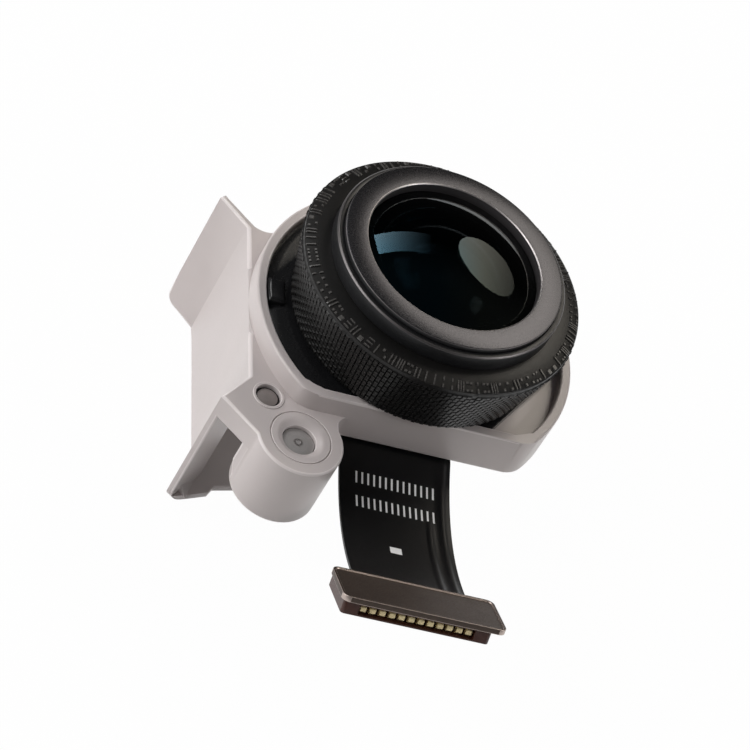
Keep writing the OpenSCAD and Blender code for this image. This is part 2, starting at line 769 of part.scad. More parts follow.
module bezel_ring() {
    color([0.2, 0.2, 0.21]) rotate_extrude() polygon([
        [bezel_bore_r, bezel_seat_z],
        [bezel_r, bezel_seat_z],
        [bezel_r, bezel_front_z - bezel_bevel],
        [bezel_r - bezel_bevel, bezel_front_z],
        [bezel_bore_r + bezel_lip, bezel_front_z],
        [bezel_bore_r, bezel_front_z - bezel_lip]
    ]);
}

module front_lens() {
    dome_r = bezel_bore_r - play;
    color([0.1, 0.13, 0.15, 0.6]) difference() {
        union() {
            disc(front_lens_r, front_rear_z, bezel_seat_z);
            disc(dome_r, bezel_seat_z - root, bezel_seat_z + dome_edge_h);
            front_cap(bezel_seat_z + dome_edge_h, dome_r, dome_curve_r);
        }
        front_ball(front_rear_z, front_hollow_r, front_hollow_curve_r);
    }
}

module front_seal() {
    color([0.08, 0.08, 0.08]) translate([0, 0, front_rear_z - seal_d / 2])
        rotate_extrude() translate([seal_r, 0]) circle(d = seal_d);
}

module second_lens() {
    color([0.2, 0.26, 0.26, 0.6]) difference() {
        union() {
            disc(rear_lens_r, spacer_front_z, second_front_z);
            front_cap(second_front_z, second_cap_r, second_cap_curve);
        }
        front_ball(spacer_front_z, cap_r, second_hollow_curve);
    }
}

module spacer_ring() {
    color([0.06, 0.06, 0.06]) ring(rear_lens_r, ring_bore_r, third_front_z, spacer_front_z);
}

module third_lens() {
    color([0.3, 0.34, 0.3, 0.6]) {
        disc(rear_lens_r, stop_spacer_front_z, third_front_z);
        front_cap(third_front_z, cap_r, third_cap_curve);
        rear_cap(stop_spacer_front_z, cap_r, third_rear_curve);
    }
}

module stop_spacer() {
    color([0.06, 0.06, 0.06]) ring(rear_lens_r, ring_bore_r, stop_front_z, stop_spacer_front_z);
}

module aperture_stop() {
    color([0.03, 0.03, 0.03]) ring(rear_lens_r, stop_r, fourth_front_z, stop_front_z);
}

module fourth_lens() {
    color([0.28, 0.32, 0.3, 0.6]) difference() {
        disc(rear_lens_r, fifth_front_z, fourth_front_z);
        front_ball(fifth_front_z, cement_r, cement_curve);
    }
}

module fifth_lens() {
    color([0.24, 0.3, 0.3, 0.6]) {
        disc(rear_lens_r, lock_front_z, fifth_front_z);
        front_cap(fifth_front_z, cement_r, cement_curve);
        rear_cap(lock_front_z, cap_r, fifth_cap_curve);
    }
}

module lock_ring() {
    color([0.07, 0.07, 0.07]) ring(rear_lens_r, ring_bore_r, lock_front_z - lock_t, lock_front_z);
}

/* Sensor board */

module ir_filter() {
    color([0.35, 0.5, 0.55, 0.5]) translate([-filter_w / 2, -filter_w / 2, floor_front_z])
        cube([filter_w, filter_w, filter_t]);
}

module image_sensor() {
    color([0.2, 0.2, 0.22]) translate([-sensor_w / 2, -sensor_h / 2, collar_rear_z])
        cube([sensor_w, sensor_h, sensor_t]);
}

module sensor_glass() {
    w = sensor_w - 2 * sensor_glass_inset;
    h = sensor_h - 2 * sensor_glass_inset;
    color([0.4, 0.45, 0.5, 0.5]) translate([-w / 2, -h / 2, collar_rear_z + sensor_t])
        cube([w, h, sensor_glass_t]);
}

// Board outline with cut corners, drawn in by a margin
module board_slab(margin, rear_z, front_z) {
    w = board_w / 2 - margin;
    top = board_top_y - margin;
    low = -board_low_y + margin;
    translate([0, 0, rear_z]) linear_extrude(front_z - rear_z) polygon([
        [-w, low + board_cut],
        [-w + board_cut, low],
        [w - board_cut, low],
        [w, low + board_cut],
        [w, top - board_cut],
        [w - board_cut, top],
        [-w + board_cut, top],
        [-w, top - board_cut]
    ]);
}

module screw_holes(r) {
    for (side = [-1, 1])
        translate([side * screw_x, screw_y, 0]) disc(r, stiffener_rear_z - root, collar_rear_z + root);
}

// Room for the tail inside the board's lower edge
module tail_root(clearance) {
    translate([-tail_w / 2 - clearance, -board_low_y - root, tail_z - tail_t / 2 - clearance])
        cube([tail_w + 2 * clearance, tail_tongue + root + clearance, tail_t + 2 * clearance]);
}

module sensor_board() {
    color([0.05, 0.2, 0.12]) difference() {
        board_slab(0, board_rear_z, collar_rear_z);
        screw_holes(screw_r + fit);
        tail_root(fit);
    }
}

// Row of capacitors below the chip
capacitor_y = chip_y - chip_w / 2 - capacitor_gap;
capacitor_row_w = capacitor_pitch * (capacitor_count - 1) + capacitor_len;

// Plate behind the board, with a window for the parts there
module stiffener() {
    half_w = max(chip_w, capacitor_row_w) / 2 + window_margin;
    low = capacitor_y - capacitor_w / 2 - window_margin;
    high = chip_y + chip_w / 2 + window_margin;
    color([0.7, 0.7, 0.7]) difference() {
        board_slab(stiffener_margin, stiffener_rear_z, board_rear_z);
        screw_holes(screw_r + fit);
        translate([-half_w, low, stiffener_rear_z - root])
            cube([2 * half_w, high - low, stiffener_t + 2 * root]);
    }
}

module board_chip() {
    color([0.08, 0.08, 0.09]) translate([-chip_w / 2, chip_y - chip_w / 2, board_rear_z - chip_t])
        cube([chip_w, chip_w, chip_t]);
}

module board_capacitors() {
    color([0.55, 0.42, 0.3]) for (i = [0 : capacitor_count - 1])
        translate([
            i * capacitor_pitch - capacitor_row_w / 2,
            capacitor_y - capacitor_w / 2,
            board_rear_z - capacitor_h
        ]) cube([capacitor_len, capacitor_w, capacitor_h]);
}

module board_screws() {
    recess_half = screw_head_r - recess_margin;
    color([0.6, 0.6, 0.62]) for (side = [-1, 1]) translate([side * screw_x, screw_y, 0]) difference() {
        union() {
            disc(screw_r, stiffener_rear_z - root, collar_rear_z + screw_bite);
            disc(screw_head_r, stiffener_rear_z - screw_head_h, stiffener_rear_z);
        }
        for (turn = [0, 90]) rotate([0, 0, turn])
            translate([-recess_half, -recess_w / 2, stiffener_rear_z - screw_head_h - root])
            cube([2 * recess_half, recess_w, recess_d + root]);
    }
}

/* Tail and connector */

// Middle line of the tail in the plane of Y and Z, as arcs between straight ends
tail_z = collar_rear_z - board_t / 2;
tail_tight_c = [-board_low_y - tail_lead, tail_z - tail_tight_r];
tail_long_start = tail_tight_c + tail_tight_r * [-sin(tail_back_angle), cos(tail_back_angle)];
tail_long_c = tail_long_start + tail_bend_r * [-sin(tail_back_angle), cos(tail_back_angle)];
tail_end = tail_long_c + tail_bend_r * [-sin(tail_front_angle), -cos(tail_front_angle)];
tail_end_out = [sin(tail_front_angle), cos(tail_front_angle)];
tail_end_along = [-cos(tail_front_angle), sin(tail_front_angle)];
tail_under = cover_len - housing_inset - slot_depth - play;

// Offset line of the tail, by a distance to its front side
function tail_line(d) = concat(
    [[-board_low_y + tail_tongue, tail_z + d]],
    arc(tail_tight_c, tail_tight_r + d, 90, 90 + tail_back_angle, corner_steps),
    arc(tail_long_c, tail_bend_r - d, 270 + tail_back_angle, 270 - tail_front_angle, bend_steps),
    [tail_end + d * tail_end_out + tail_under * tail_end_along]
);

module flex_tail() {
    color([0.06, 0.06, 0.065]) translate([-tail_w / 2, 0, 0])
        rotate([90, 0, 90]) linear_extrude(tail_w)
        polygon(concat(tail_line(tail_t / 2), reversed(tail_line(-tail_t / 2))));
}

// Frame of the connector: -Y runs along the tail, +Z out of the tail's front face
module at_tail_end() {
    translate([0, tail_end[0], tail_end[1]]) rotate([-tail_front_angle, 0, 0]) children();
}

// Slab with round corners, from y = -length to 0
module round_slab(w, length, r, rear_z, front_z) {
    translate([0, 0, rear_z]) linear_extrude(front_z - rear_z) polygon(concat(
        arc([w / 2 - r, -r], r, 0, 90, corner_steps),
        arc([-w / 2 + r, -r], r, 90, 180, corner_steps),
        arc([-w / 2 + r, -length + r], r, 180, 270, corner_steps),
        arc([w / 2 - r, -length + r], r, 270, 360, corner_steps)
    ));
}

module connector_cover() {
    rear_z = tail_t / 2;
    front_z = rear_z + cover_t;
    color([0.3, 0.26, 0.24]) at_tail_end() difference() {
        round_slab(cover_w, cover_len, cover_corner_r, rear_z, front_z);
        translate([0, -cover_rim_w, 0]) round_slab(
            cover_w - 2 * cover_rim_w,
            cover_len - 2 * cover_rim_w,
            cover_corner_r - cover_rim_w,
            front_z - cover_rim_h,
            front_z + root
        );
    }
}

// Block behind the cover, with a groove for the tail and a slot for the contacts in its lower edge
module connector_housing() {
    front_z = tail_t / 2;
    rear_z = -tail_t / 2 - housing_h;
    length = cover_len - housing_inset;
    slot_w = (contact_count - 1) * contact_pitch + contact_w + 2 * slot_wall;
    color([0.16, 0.08, 0.06]) at_tail_end() translate([-housing_shift, 0, 0]) difference() {
        round_slab(housing_w, length, cover_corner_r / 2, rear_z, front_z);
        translate([housing_shift - tail_w / 2 - fit, -tail_under - fit, -tail_t / 2 - fit])
            cube([tail_w + 2 * fit, tail_under + fit + root, tail_t + fit + root]);
        translate([-slot_w / 2, -length - root, rear_z + slot_wall])
            cube([slot_w, slot_depth + root, housing_h + tail_t - 2 * slot_wall]);
    }
}

module contacts() {
    rear_z = -tail_t / 2 - housing_h + slot_wall;
    front_z = tail_t / 2 - slot_wall;
    length = cover_len - housing_inset;
    color([0.95, 0.8, 0.45]) at_tail_end() for (i = [0 : contact_count - 1])
        translate([(i - (contact_count - 1) / 2) * contact_pitch - contact_w / 2 - housing_shift, 0, 0])
        rotate([90, 0, 90]) linear_extrude(contact_w) polygon([
            [-length + slot_depth, rear_z],
            [-length + slot_depth, front_z],
            [-length + slot_depth - tip_bevel, front_z],
            [-length + tip_bevel, front_z - tip_bevel],
            [-length + tip_bevel, rear_z + tip_bevel],
            [-length + slot_depth - tip_bevel, rear_z]
        ]);
}

bracket();
boss_insert();
datum_pin();
lens_holder();
lens_barrel();
grip_band();
bezel_ring();
front_lens();
front_seal();
second_lens();
spacer_ring();
third_lens();
stop_spacer();
aperture_stop();
fourth_lens();
fifth_lens();
lock_ring();
ir_filter();
image_sensor();
sensor_glass();
sensor_board();
board_chip();
board_capacitors();
stiffener();
board_screws();
flex_tail();
connector_cover();
connector_housing();
contacts();
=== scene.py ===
"""Vision sensor module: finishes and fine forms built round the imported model, laid out as an add-on."""

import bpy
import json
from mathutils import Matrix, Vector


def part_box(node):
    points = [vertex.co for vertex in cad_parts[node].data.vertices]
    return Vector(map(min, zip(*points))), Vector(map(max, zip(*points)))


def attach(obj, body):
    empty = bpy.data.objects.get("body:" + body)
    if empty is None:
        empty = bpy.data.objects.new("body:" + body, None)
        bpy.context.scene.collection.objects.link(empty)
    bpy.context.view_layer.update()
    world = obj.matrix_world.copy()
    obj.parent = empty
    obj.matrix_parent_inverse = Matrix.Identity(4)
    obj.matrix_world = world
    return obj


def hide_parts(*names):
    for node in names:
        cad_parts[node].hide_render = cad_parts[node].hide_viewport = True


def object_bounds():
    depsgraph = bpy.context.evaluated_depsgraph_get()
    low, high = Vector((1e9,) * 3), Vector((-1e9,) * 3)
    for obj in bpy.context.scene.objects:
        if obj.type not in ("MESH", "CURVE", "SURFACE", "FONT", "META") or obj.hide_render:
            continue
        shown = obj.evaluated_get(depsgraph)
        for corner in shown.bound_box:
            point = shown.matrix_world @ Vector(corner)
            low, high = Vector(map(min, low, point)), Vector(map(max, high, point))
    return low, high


bl_info = {
    "name": "Vision Sensor Module",
    "version": (1, 0, 0),
    "blender": (4, 5, 0),
    "location": "View3D > Sidebar > Module",
    "description": "Dresses a fisheye sensor module with its moulded, turned and printed finishes",
    "category": "Object",
}

import json
import math
import random

import bmesh
import bpy
from mathutils import Matrix, Vector

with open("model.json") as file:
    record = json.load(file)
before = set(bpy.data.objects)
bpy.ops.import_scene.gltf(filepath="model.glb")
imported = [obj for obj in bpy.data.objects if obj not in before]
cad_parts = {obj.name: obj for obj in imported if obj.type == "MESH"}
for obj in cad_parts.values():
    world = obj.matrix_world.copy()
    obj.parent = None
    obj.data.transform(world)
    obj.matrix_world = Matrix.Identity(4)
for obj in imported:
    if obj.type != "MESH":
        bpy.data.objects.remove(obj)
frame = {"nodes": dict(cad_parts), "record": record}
CAD_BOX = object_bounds()

# Units and values that the whole script shares
MM = 0.001
UM = 0.000001
BODY = "root"
WELD = 0.2 * UM
FLAT_ANGLE = math.radians(1)
CREASE_ANGLE = math.radians(35)
SMOOTH_ANGLE = math.radians(40)
ROUND_STEPS = 3
SPIN_STEPS = 192
FULL_TURN = 2 * math.pi
NEAR = 5 * UM
# Parts of a unit normal that tell apart how a face lies
UPRIGHT = 0.2
FACING = 0.5
LEVEL = 0.95
SQUARE = 0.99
# Blender's wave texture turns once in a full turn divided by this
WAVE_UNIT = 20
GRAIN_ROUGHNESS = 0.55
# Colour sockets of the mix node, which come after those for numbers and vectors
MIX_DARK, MIX_LIGHT, MIX_RESULT = 6, 7, 2


def length(label, about, value):
    """Setting for a fine length, given in millimetres."""
    return bpy.props.FloatProperty(
        name=label, description=about, default=value * MM, unit='LENGTH', precision=6)


def tone(label, about, value):
    """Setting for a colour."""
    return bpy.props.FloatVectorProperty(
        name=label, description=about, default=value, subtype='COLOR', min=0, max=1)


def power(label, about, value):
    """Setting for a light's power."""
    return bpy.props.FloatProperty(name=label, description=about, default=value, unit='POWER')


class ModuleSizes(bpy.types.PropertyGroup):
    """Fine sizes that the finishing adds to the solids."""

    wall_round: length("Wall rounding", "Width of the soft front edge of the bracket's side wall", 0.2)
    bracket_round: length("Bracket rounding", "Width of the other soft edges on the moulded bracket", 0.12)
    fine_round: length("Fine rounding", "Width of the edges on small moulded features", 0.025)
    holder_round: length("Holder rounding", "Width of the edges on the black holder", 0.06)
    key_round: length("Key rounding", "Width of the front edges on the holder's key", 0.16)
    metal_round: length("Metal rounding", "Radius of the broken edges on metal pieces", 0.05)
    bezel_fall: length("Bezel fall", "How far the bezel's front face falls towards its outer edge", 0.06)
    turned_round: length("Turned rounding", "Radius of the broken edges on turned rings", 0.025)
    grip_cells: bpy.props.IntProperty(
        name="Grip cells", description="Number of cells of the grip's crosshatch round the band",
        default=176, min=48)
    grip_rows: bpy.props.IntProperty(
        name="Grip rows", description="Number of rows of cells along the band", default=14, min=4)
    grip_relief: length("Grip relief", "Height of the higher crosshatch cells", 0.085)
    mark_height: length("Mark height", "Height of the raised bars and dots on the band's front bevel", 0.06)
    ridge_height: length("Ridge height", "Height of the lengthwise ridges on the tail", 0.09)
    ridge_width: length("Ridge width", "Width of a lengthwise ridge on the tail", 0.5)
    print_thickness: length("Print thickness", "Thickness of the white print on the tail", 0.012)
    thread_pitch: length("Thread pitch", "Pitch of the thread in the boss insert", 0.3)
    thread_depth: length("Thread depth", "Depth of the thread in the boss insert", 0.075)


class ModuleColours(bpy.types.PropertyGroup):
    """Colours of the finishes."""

    bracket: tone("Bracket", "Warm light grey of the moulded bracket", (0.58, 0.525, 0.515))
    # Lighter grey on the bracket's rounded edges, a painted highlight along them.
    bracket_edge_highlight: tone("Bracket edges", "Rubbed grey of the bracket's rounded edges", (0.76, 0.7, 0.69))
    black: tone("Black plastic", "Black of the holder and the barrel", (0.012, 0.012, 0.013))
    grip: tone("Grip", "Black of the grip band", (0.007, 0.0065, 0.0062))
    # The marks' black is lighter than the band's, a painted highlight on the raised marks.
    mark: tone("Marks", "Worn black of the raised marks on the grip", (0.07, 0.066, 0.063))
    bezel: tone("Bezel", "Dark grey of the satin bezel ring", (0.06, 0.059, 0.065))
    # Lighter metal on chamfers and edges, a painted highlight along them.
    edge_highlight_metal: tone("Bright edge", "Bare metal of the edges on the bezel and the nose", (0.14, 0.13, 0.13))
    lip_highlight_metal: tone("Bright lip", "Bare metal of the bezel's inner edge", (0.52, 0.49, 0.48))
    bezel_bore: tone("Bezel bore", "Dark mauve of the bezel's bore", (0.05, 0.046, 0.048))
    steel: tone("Steel", "Grey of the boss insert", (0.5, 0.48, 0.47))
    pin: tone("Datum pin", "Brown grey of the datum pin", (0.25, 0.22, 0.21))
    tail: tone("Tail", "Black of the flexible tail's film", (0.004, 0.004, 0.0044))
    print_white: tone("Print", "White of the print on the tail", (0.8, 0.8, 0.8))
    bronze: tone("Cover", "Dark bronze of the connector's cover", (0.09, 0.068, 0.057))
    # Lighter rim of the cover, a painted highlight along its edges.
    cover_rim: tone("Cover rim", "Rubbed edges of the connector's cover", (0.5, 0.42, 0.38))
    housing: tone("Housing", "Red brown of the connector's moulded block", (0.05, 0.015, 0.009))
    gold: tone("Gold", "Plating of the contacts", (1.0, 0.8, 0.46))
    board: tone("Board", "Dark green of the board's lacquer", (0.008, 0.05, 0.024))


class ModuleStage(bpy.types.PropertyGroup):
    """Light and floor."""

    key_power: power("Key light", "Power of the large soft light at the wall's side", 0.265)
    fill_power: power("Fill light", "Power of the soft light at the far side", 0.14)
    edge_power: power("Edge light", "Power of the light that draws the lower left edges", 0.07)
    strip_power: power("Strip light", "Power of the long light that shows as a band in the glass", 0.08)
    round_power: power("Round light", "Power of the round light that shows as an oval in the glass", 0.138)
    ambient: bpy.props.FloatProperty(
        name="Ambient", description="Strength of the even light from all sides", default=0.13, min=0)
    floor_white: bpy.props.FloatProperty(
        name="Floor white", description="Share of the floor's own white, over its shadow",
        default=0.98, min=0, max=1, subtype='FACTOR')


# Objects and edit mode

def only(piece):
    """Selects one object and makes it the active one."""
    bpy.ops.object.select_all(action='DESELECT')
    piece.select_set(True)
    bpy.context.view_layer.objects.active = piece


def open_edit(piece):
    """Opens edit mode on one object with all of its mesh selected."""
    only(piece)
    bpy.ops.object.mode_set(mode='EDIT')
    bpy.ops.mesh.select_mode(type='VERT')
    bpy.ops.mesh.select_all(action='SELECT')


def close_edit():
    """Goes back to object mode."""
    bpy.ops.object.mode_set(mode='OBJECT')


def choose(piece, kind, test):
    """Selects the vertices, edges or faces that pass a test, in edit mode."""
    bpy.ops.mesh.select_mode(type=kind)
    bpy.ops.mesh.select_all(action='DESELECT')
    cage = bmesh.from_edit_mesh(piece.data)
    items = {'VERT': cage.verts, 'EDGE': cage.edges, 'FACE': cage.faces}[kind]
    for item in items:
        if test(item):
            item.select_set(True)
    cage.select_flush_mode()
    bmesh.update_edit_mesh(piece.data)


def is_sharp(edge):
    """True for an edge whose two faces meet at a clear angle."""
    return edge.is_manifold and edge.calc_face_angle(0) > CREASE_ANGLE


def is_outer(edge):
    """True for a sharp edge that stands out and isn't a corner between two walls."""
    return is_sharp(edge) and edge.is_convex


def middle(edge):
    """Middle point of an edge."""
    return (edge.verts[0].co + edge.verts[1].co) / 2


def away(point, axis):
    """Distance of a point from an upright axis."""
    return math.hypot(point.x - axis.x, point.y - axis.y)


def at_radius(face):
    """Distance of a face from the optical axis."""
    return face.calc_center_median().xy.length


def is_slanted(face):
    """True for a face on a bevel or a round towards the front."""
    return UPRIGHT < face.normal.z < LEVEL


def is_upright(face):
    """True for a face of a side or a bore."""
    return abs(face.normal.z) < UPRIGHT


def axis_of(node):
    """Middle of a node's box."""
    low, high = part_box(node)
    return (low + high) / 2


def mount_place(name):
    """Place of one of the record's mounts."""
    mounts = {item["name"]: item for item in frame["record"]["mounts"]}
    return Vector(mounts[name]["pos_m"])


def apply_modifier(piece, kind, **settings):
    """Adds a modifier, sets it and applies it."""
    only(piece)
    modifier = piece.modifiers.new(kind.lower(), kind)
    for name, value in settings.items():
        setattr(modifier, name, value)
    bpy.ops.object.modifier_apply(modifier=modifier.name)


def smooth(piece, angle=SMOOTH_ANGLE):
    """Smooth shading up to an angle, with flat faces kept flat."""
    only(piece)
    bpy.ops.object.shade_smooth_by_angle(angle=angle)
    apply_modifier(piece, 'WEIGHTED_NORMAL', keep_sharp=True)


def node_copy(node, name):
    """Clean copy of a node's mesh: triangles merged and flat faces joined."""
    piece = bpy.data.objects.new(name, frame["nodes"][node].data.copy())
    piece.data.name = name
    piece.data.materials.clear()
    bpy.context.collection.objects.link(piece)
    open_edit(piece)
    bpy.ops.mesh.customdata_custom_splitnormals_clear()
    bpy.ops.mesh.remove_doubles(threshold=WELD)
    bpy.ops.mesh.dissolve_limited(angle_limit=FLAT_ANGLE)
    close_edit()
    return piece


def soften(piece, width, test=is_sharp):
    """Rounds the edges that pass a test."""
    open_edit(piece)
    choose(piece, 'EDGE', test)
    bpy.ops.mesh.bevel(offset=width, segments=ROUND_STEPS, affect='EDGES', clamp_overlap=True,
                       miter_outer='ARC')
    close_edit()


def section_copy(node, name):
    """Section line of a turned node, cut out of a copy at one side of its axis."""
    axis = axis_of(node)
    piece = node_copy(node, name)
    open_edit(piece)
    bpy.ops.mesh.bisect(plane_co=axis, plane_no=(0, 1, 0), clear_inner=True, clear_outer=True)
    choose(piece, 'VERT', lambda vert: vert.co.x < axis.x - WELD)
    bpy.ops.mesh.delete(type='VERT')
    bpy.ops.mesh.select_all(action='SELECT')
    bpy.ops.mesh.remove_doubles(threshold=UM)
    bpy.ops.mesh.dissolve_limited(angle_limit=FLAT_ANGLE)
    close_edit()
    return piece


def spin_section(piece, axis, steps=SPIN_STEPS):
    """Spins a section line about an upright axis into a closed shell."""
    open_edit(piece)
    bpy.ops.mesh.spin(steps=steps, angle=FULL_TURN, center=axis, axis=(0, 0, 1))
    bpy.ops.mesh.select_all(action='SELECT')
    bpy.ops.mesh.remove_doubles(threshold=UM)
    bpy.ops.mesh.normals_make_consistent(inside=False)
    close_edit()


def line_object(name, points):
    """New object with a chain of edges, drawn by extruding one vertex from point to point."""
    bpy.ops.object.select_all(action='DESELECT')
    bpy.ops.mesh.primitive_plane_add(size=MM, location=(0, 0, 0))
    piece = bpy.context.object
    piece.name = name
    piece.data.name = name
    open_edit(piece)
    bpy.ops.mesh.merge(type='CENTER')
    bpy.ops.transform.translate(value=points[0])
    for start, end in zip(points, points[1:]):
        bpy.ops.mesh.extrude_region_move(TRANSFORM_OT_translate={"value": Vector(end) - Vector(start)})
    close_edit()
    return piece


def cap_line(apex_z, curve, aperture, steps):
    """Points of a spherical cap from the axis out to its aperture."""
    end = math.asin(aperture / curve)
    turns = [end * step / steps for step in range(steps + 1)]
    return [(curve * math.sin(turn), 0, apex_z - curve * (1 - math.cos(turn))) for turn in turns]


def sag(curve, aperture):
    """Depth of a spherical cap."""
    return curve - math.sqrt(curve ** 2 - aperture ** 2)


def block(name, low, high):
    """New box between two corners, with its place in its mesh."""
    bpy.ops.object.select_all(action='DESELECT')
    bpy.ops.mesh.primitive_cube_add(size=1, location=(0, 0, 0))
    piece = bpy.context.object
    piece.name = name
    piece.data.name = name
    open_edit(piece)
    bpy.ops.transform.resize(value=Vector(high) - Vector(low))
    bpy.ops.transform.translate(value=(Vector(high) + Vector(low)) / 2)
    close_edit()
    return piece


def join(pieces, name):
    """Joins several objects into the first of them."""
    bpy.ops.object.select_all(action='DESELECT')
    for piece in pieces:
        piece.select_set(True)
    bpy.context.view_layer.objects.active = pieces[0]
    bpy.ops.object.join()
    pieces[0].name = name
    pieces[0].data.name = name
    return pieces[0]


def second_finish(piece, finish, test):
    """Gives the faces that pass a test a further material."""
    piece.data.materials.append(finish)
    open_edit(piece)
    choose(piece, 'FACE', test)
    piece.active_material_index = len(piece.data.materials) - 1
    bpy.ops.object.material_slot_assign()
    close_edit()


def finish_piece(piece, finish, slot, *nodes):
    """Gives a piece its material and its body, and hides the nodes that it stands for; the slot is not used.
    """
    piece.data.materials.append(finish)
    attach(piece, BODY)
    if nodes:
        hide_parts(*nodes)


def soft_copy(node, name, finish, slot, width):
    """Copy of a node with fine edges, which stands for the node."""
    piece = node_copy(node, name)
    soften(piece, width)
    smooth(piece)
    finish_piece(piece, finish, slot, node)
    return piece


def dress(node, finish):
    """Gives a node that stays shown its material."""
    mesh = frame["nodes"][node].data
    mesh.materials.clear()
    mesh.materials.append(finish)


# Material nodes

class Finish:
    """A node material in the making, on Object coordinates."""

    def __init__(self, name, **sockets):
        self.material = bpy.data.materials.new(name)
        self.material.use_nodes = True
        self.tree = self.material.node_tree
        self.shader = self.tree.nodes["Principled BSDF"]
        self.place = self.node('ShaderNodeTexCoord').outputs["Object"]
        for socket, value in sockets.items():
            self.set(socket.replace("_", " "), value)

    def node(self, kind):
        """New node in the material."""
        return self.tree.nodes.new(kind)

    def link(self, start, end):
        """Joins an output to an input."""
        self.tree.links.new(start, end)

    def set(self, socket, value):
        """Sets one of the shader's own sockets, with a colour made four wide."""
        if hasattr(value, "__len__"):
            value = (*value, 1.0)
        self.shader.inputs[socket].default_value = value

    def mapped(self, scale=(1, 1, 1), turn=(0, 0, 0), location=(0, 0, 0)):
        """Object coordinates after a Mapping node."""
        mapping = self.node('ShaderNodeMapping')
        mapping.inputs["Scale"].default_value = scale
        mapping.inputs["Rotation"].default_value = turn
        mapping.inputs["Location"].default_value = location
        self.link(self.place, mapping.inputs["Vector"])
        return mapping.outputs["Vector"]

    def noise(self, per_mm, detail=3.0, vector=None):
        """Noise with a number of grains per millimetre."""
        noise = self.node('ShaderNodeTexNoise')
        noise.inputs["Scale"].default_value = per_mm / MM
        noise.inputs["Detail"].default_value = detail
        noise.inputs["Roughness"].default_value = GRAIN_ROUGHNESS
        self.link(vector or self.place, noise.inputs["Vector"])
        return noise.outputs["Fac"]

    def rings(self, per_mm, axis):
        """Concentric rings about an upright axis, as a turning tool leaves them."""
        wave = self.node('ShaderNodeTexWave')
        wave.wave_type = 'RINGS'
        wave.rings_direction = 'Z'
        wave.inputs["Scale"].default_value = per_mm / MM * FULL_TURN / WAVE_UNIT
        self.link(self.mapped(location=(-axis.x, -axis.y, 0)), wave.inputs["Vector"])
        return wave.outputs["Fac"]

    def spread(self, value, low, high, start=0.3, end=0.7):
        """Maps a texture's middle range to a range of values."""
        span = self.node('ShaderNodeMapRange')
        self.link(value, span.inputs["Value"])
        span.inputs["From Min"].default_value = start
        span.inputs["From Max"].default_value = end
        span.inputs["To Min"].default_value = low
        span.inputs["To Max"].default_value = high
        return span.outputs["Result"]

    def tint(self, value, dark, light):
        """Mixes two colours by a texture."""
        mix = self.node('ShaderNodeMix')
        mix.data_type = 'RGBA'
        self.link(value, mix.inputs["Factor"])
        mix.inputs[MIX_DARK].default_value = (*dark, 1.0)
        mix.inputs[MIX_LIGHT].default_value = (*light, 1.0)
        return mix.outputs[MIX_RESULT]

    def colour(self, value, colour, depth):
        """Colours the shader, darker and lighter than a colour by a texture."""
        dark = [part * (1 - depth) for part in colour]
        light = [min(1.0, part * (1 + depth)) for part in colour]
        self.link(self.tint(value, dark, light), self.shader.inputs["Base Color"])

    def rough(self, value, low, high):
        """Roughness between two values by a texture."""
        self.link(self.spread(value, low, high), self.shader.inputs["Roughness"])

    def relief(self, value, height):
        """Bump of a height in metres, on top of any bump that is there."""
        bump = self.node('ShaderNodeBump')
        bump.inputs["Distance"].default_value = height
        self.link(value, bump.inputs["Height"])
        normal = self.shader.inputs["Normal"]
        if normal.is_linked:
            self.link(normal.links[0].from_socket, bump.inputs["Normal"])
        self.link(bump.outputs["Normal"], normal)


def moulded_grey(name, colour):
    """Warm grey moulded plastic with a very fine eroded grain."""
    finish = Finish(name, Specular_IOR_Level=0.5)
    finish.colour(finish.noise(0.35, detail=2), colour, 0.03)
    grain = finish.noise(9, detail=3)
    finish.rough(grain, 0.3, 0.38)
    finish.relief(grain, 0.5 * UM)
    finish.relief(finish.noise(1.1, detail=1), 3 * UM)
    return finish.material


def surface(name, colour, depth, tones, gloss, rough, bump=None, height=0.0, **sockets):
    """Finish with uneven colour and gloss and a fine relief.

    Tones, gloss and bump are noises, each given as its grains per millimetre and its detail.
    """
    finish = Finish(name, **sockets)
    finish.colour(finish.noise(*tones), colour, depth)
    finish.rough(finish.noise(*gloss), *rough)
    if bump:
        finish.relief(finish.noise(*bump), height)
    return finish.material


def black_plastic(colours):
    """Black moulded plastic with a satin face."""
    return surface("black_plastic", colours.black, 0.25, tones=(2.5, 3), gloss=(12, 3), rough=(0.16, 0.28),
                   bump=(12, 3), height=2 * UM, Specular_IOR_Level=0.55)


def barrel_black(colours):
    """Black anodised barrel with faint turning lines."""
    finish = Finish("barrel_black", Specular_IOR_Level=0.35)
    finish.colour(finish.noise(3), colours.black, 0.2)
    lines = finish.noise(9, vector=finish.mapped(scale=(0.05, 0.05, 3)))
    finish.rough(lines, 0.3, 0.42)
    finish.relief(lines, 1.5 * UM)
    return finish.material


def grip_black(colours):
    """Black of the crosshatched band, a little polished on its high points."""
    return surface("grip_black", colours.grip, 0.3, tones=(4, 3), gloss=(16, 3), rough=(0.28, 0.46),
                   bump=(16, 3), height=4 * UM, Specular_IOR_Level=0.3)


def mark_black(colours):
    """Polished black of the raised marks, lighter than the band as a painted highlight on them."""
    return surface("mark_black", colours.mark, 0.35, tones=(5, 3), gloss=(9, 3), rough=(0.2, 0.32),
                   Specular_IOR_Level=0.6)


def satin_bezel(colours):
    """Satin blasted dark metal with a fine sparkle."""
    return surface("satin_bezel", colours.bezel, 0.16, tones=(22, 2), gloss=(22, 2), rough=(0.22, 0.3),
                   bump=(22, 2), height=1.6 * UM, Metallic=0.85, Specular_IOR_Level=0.5)


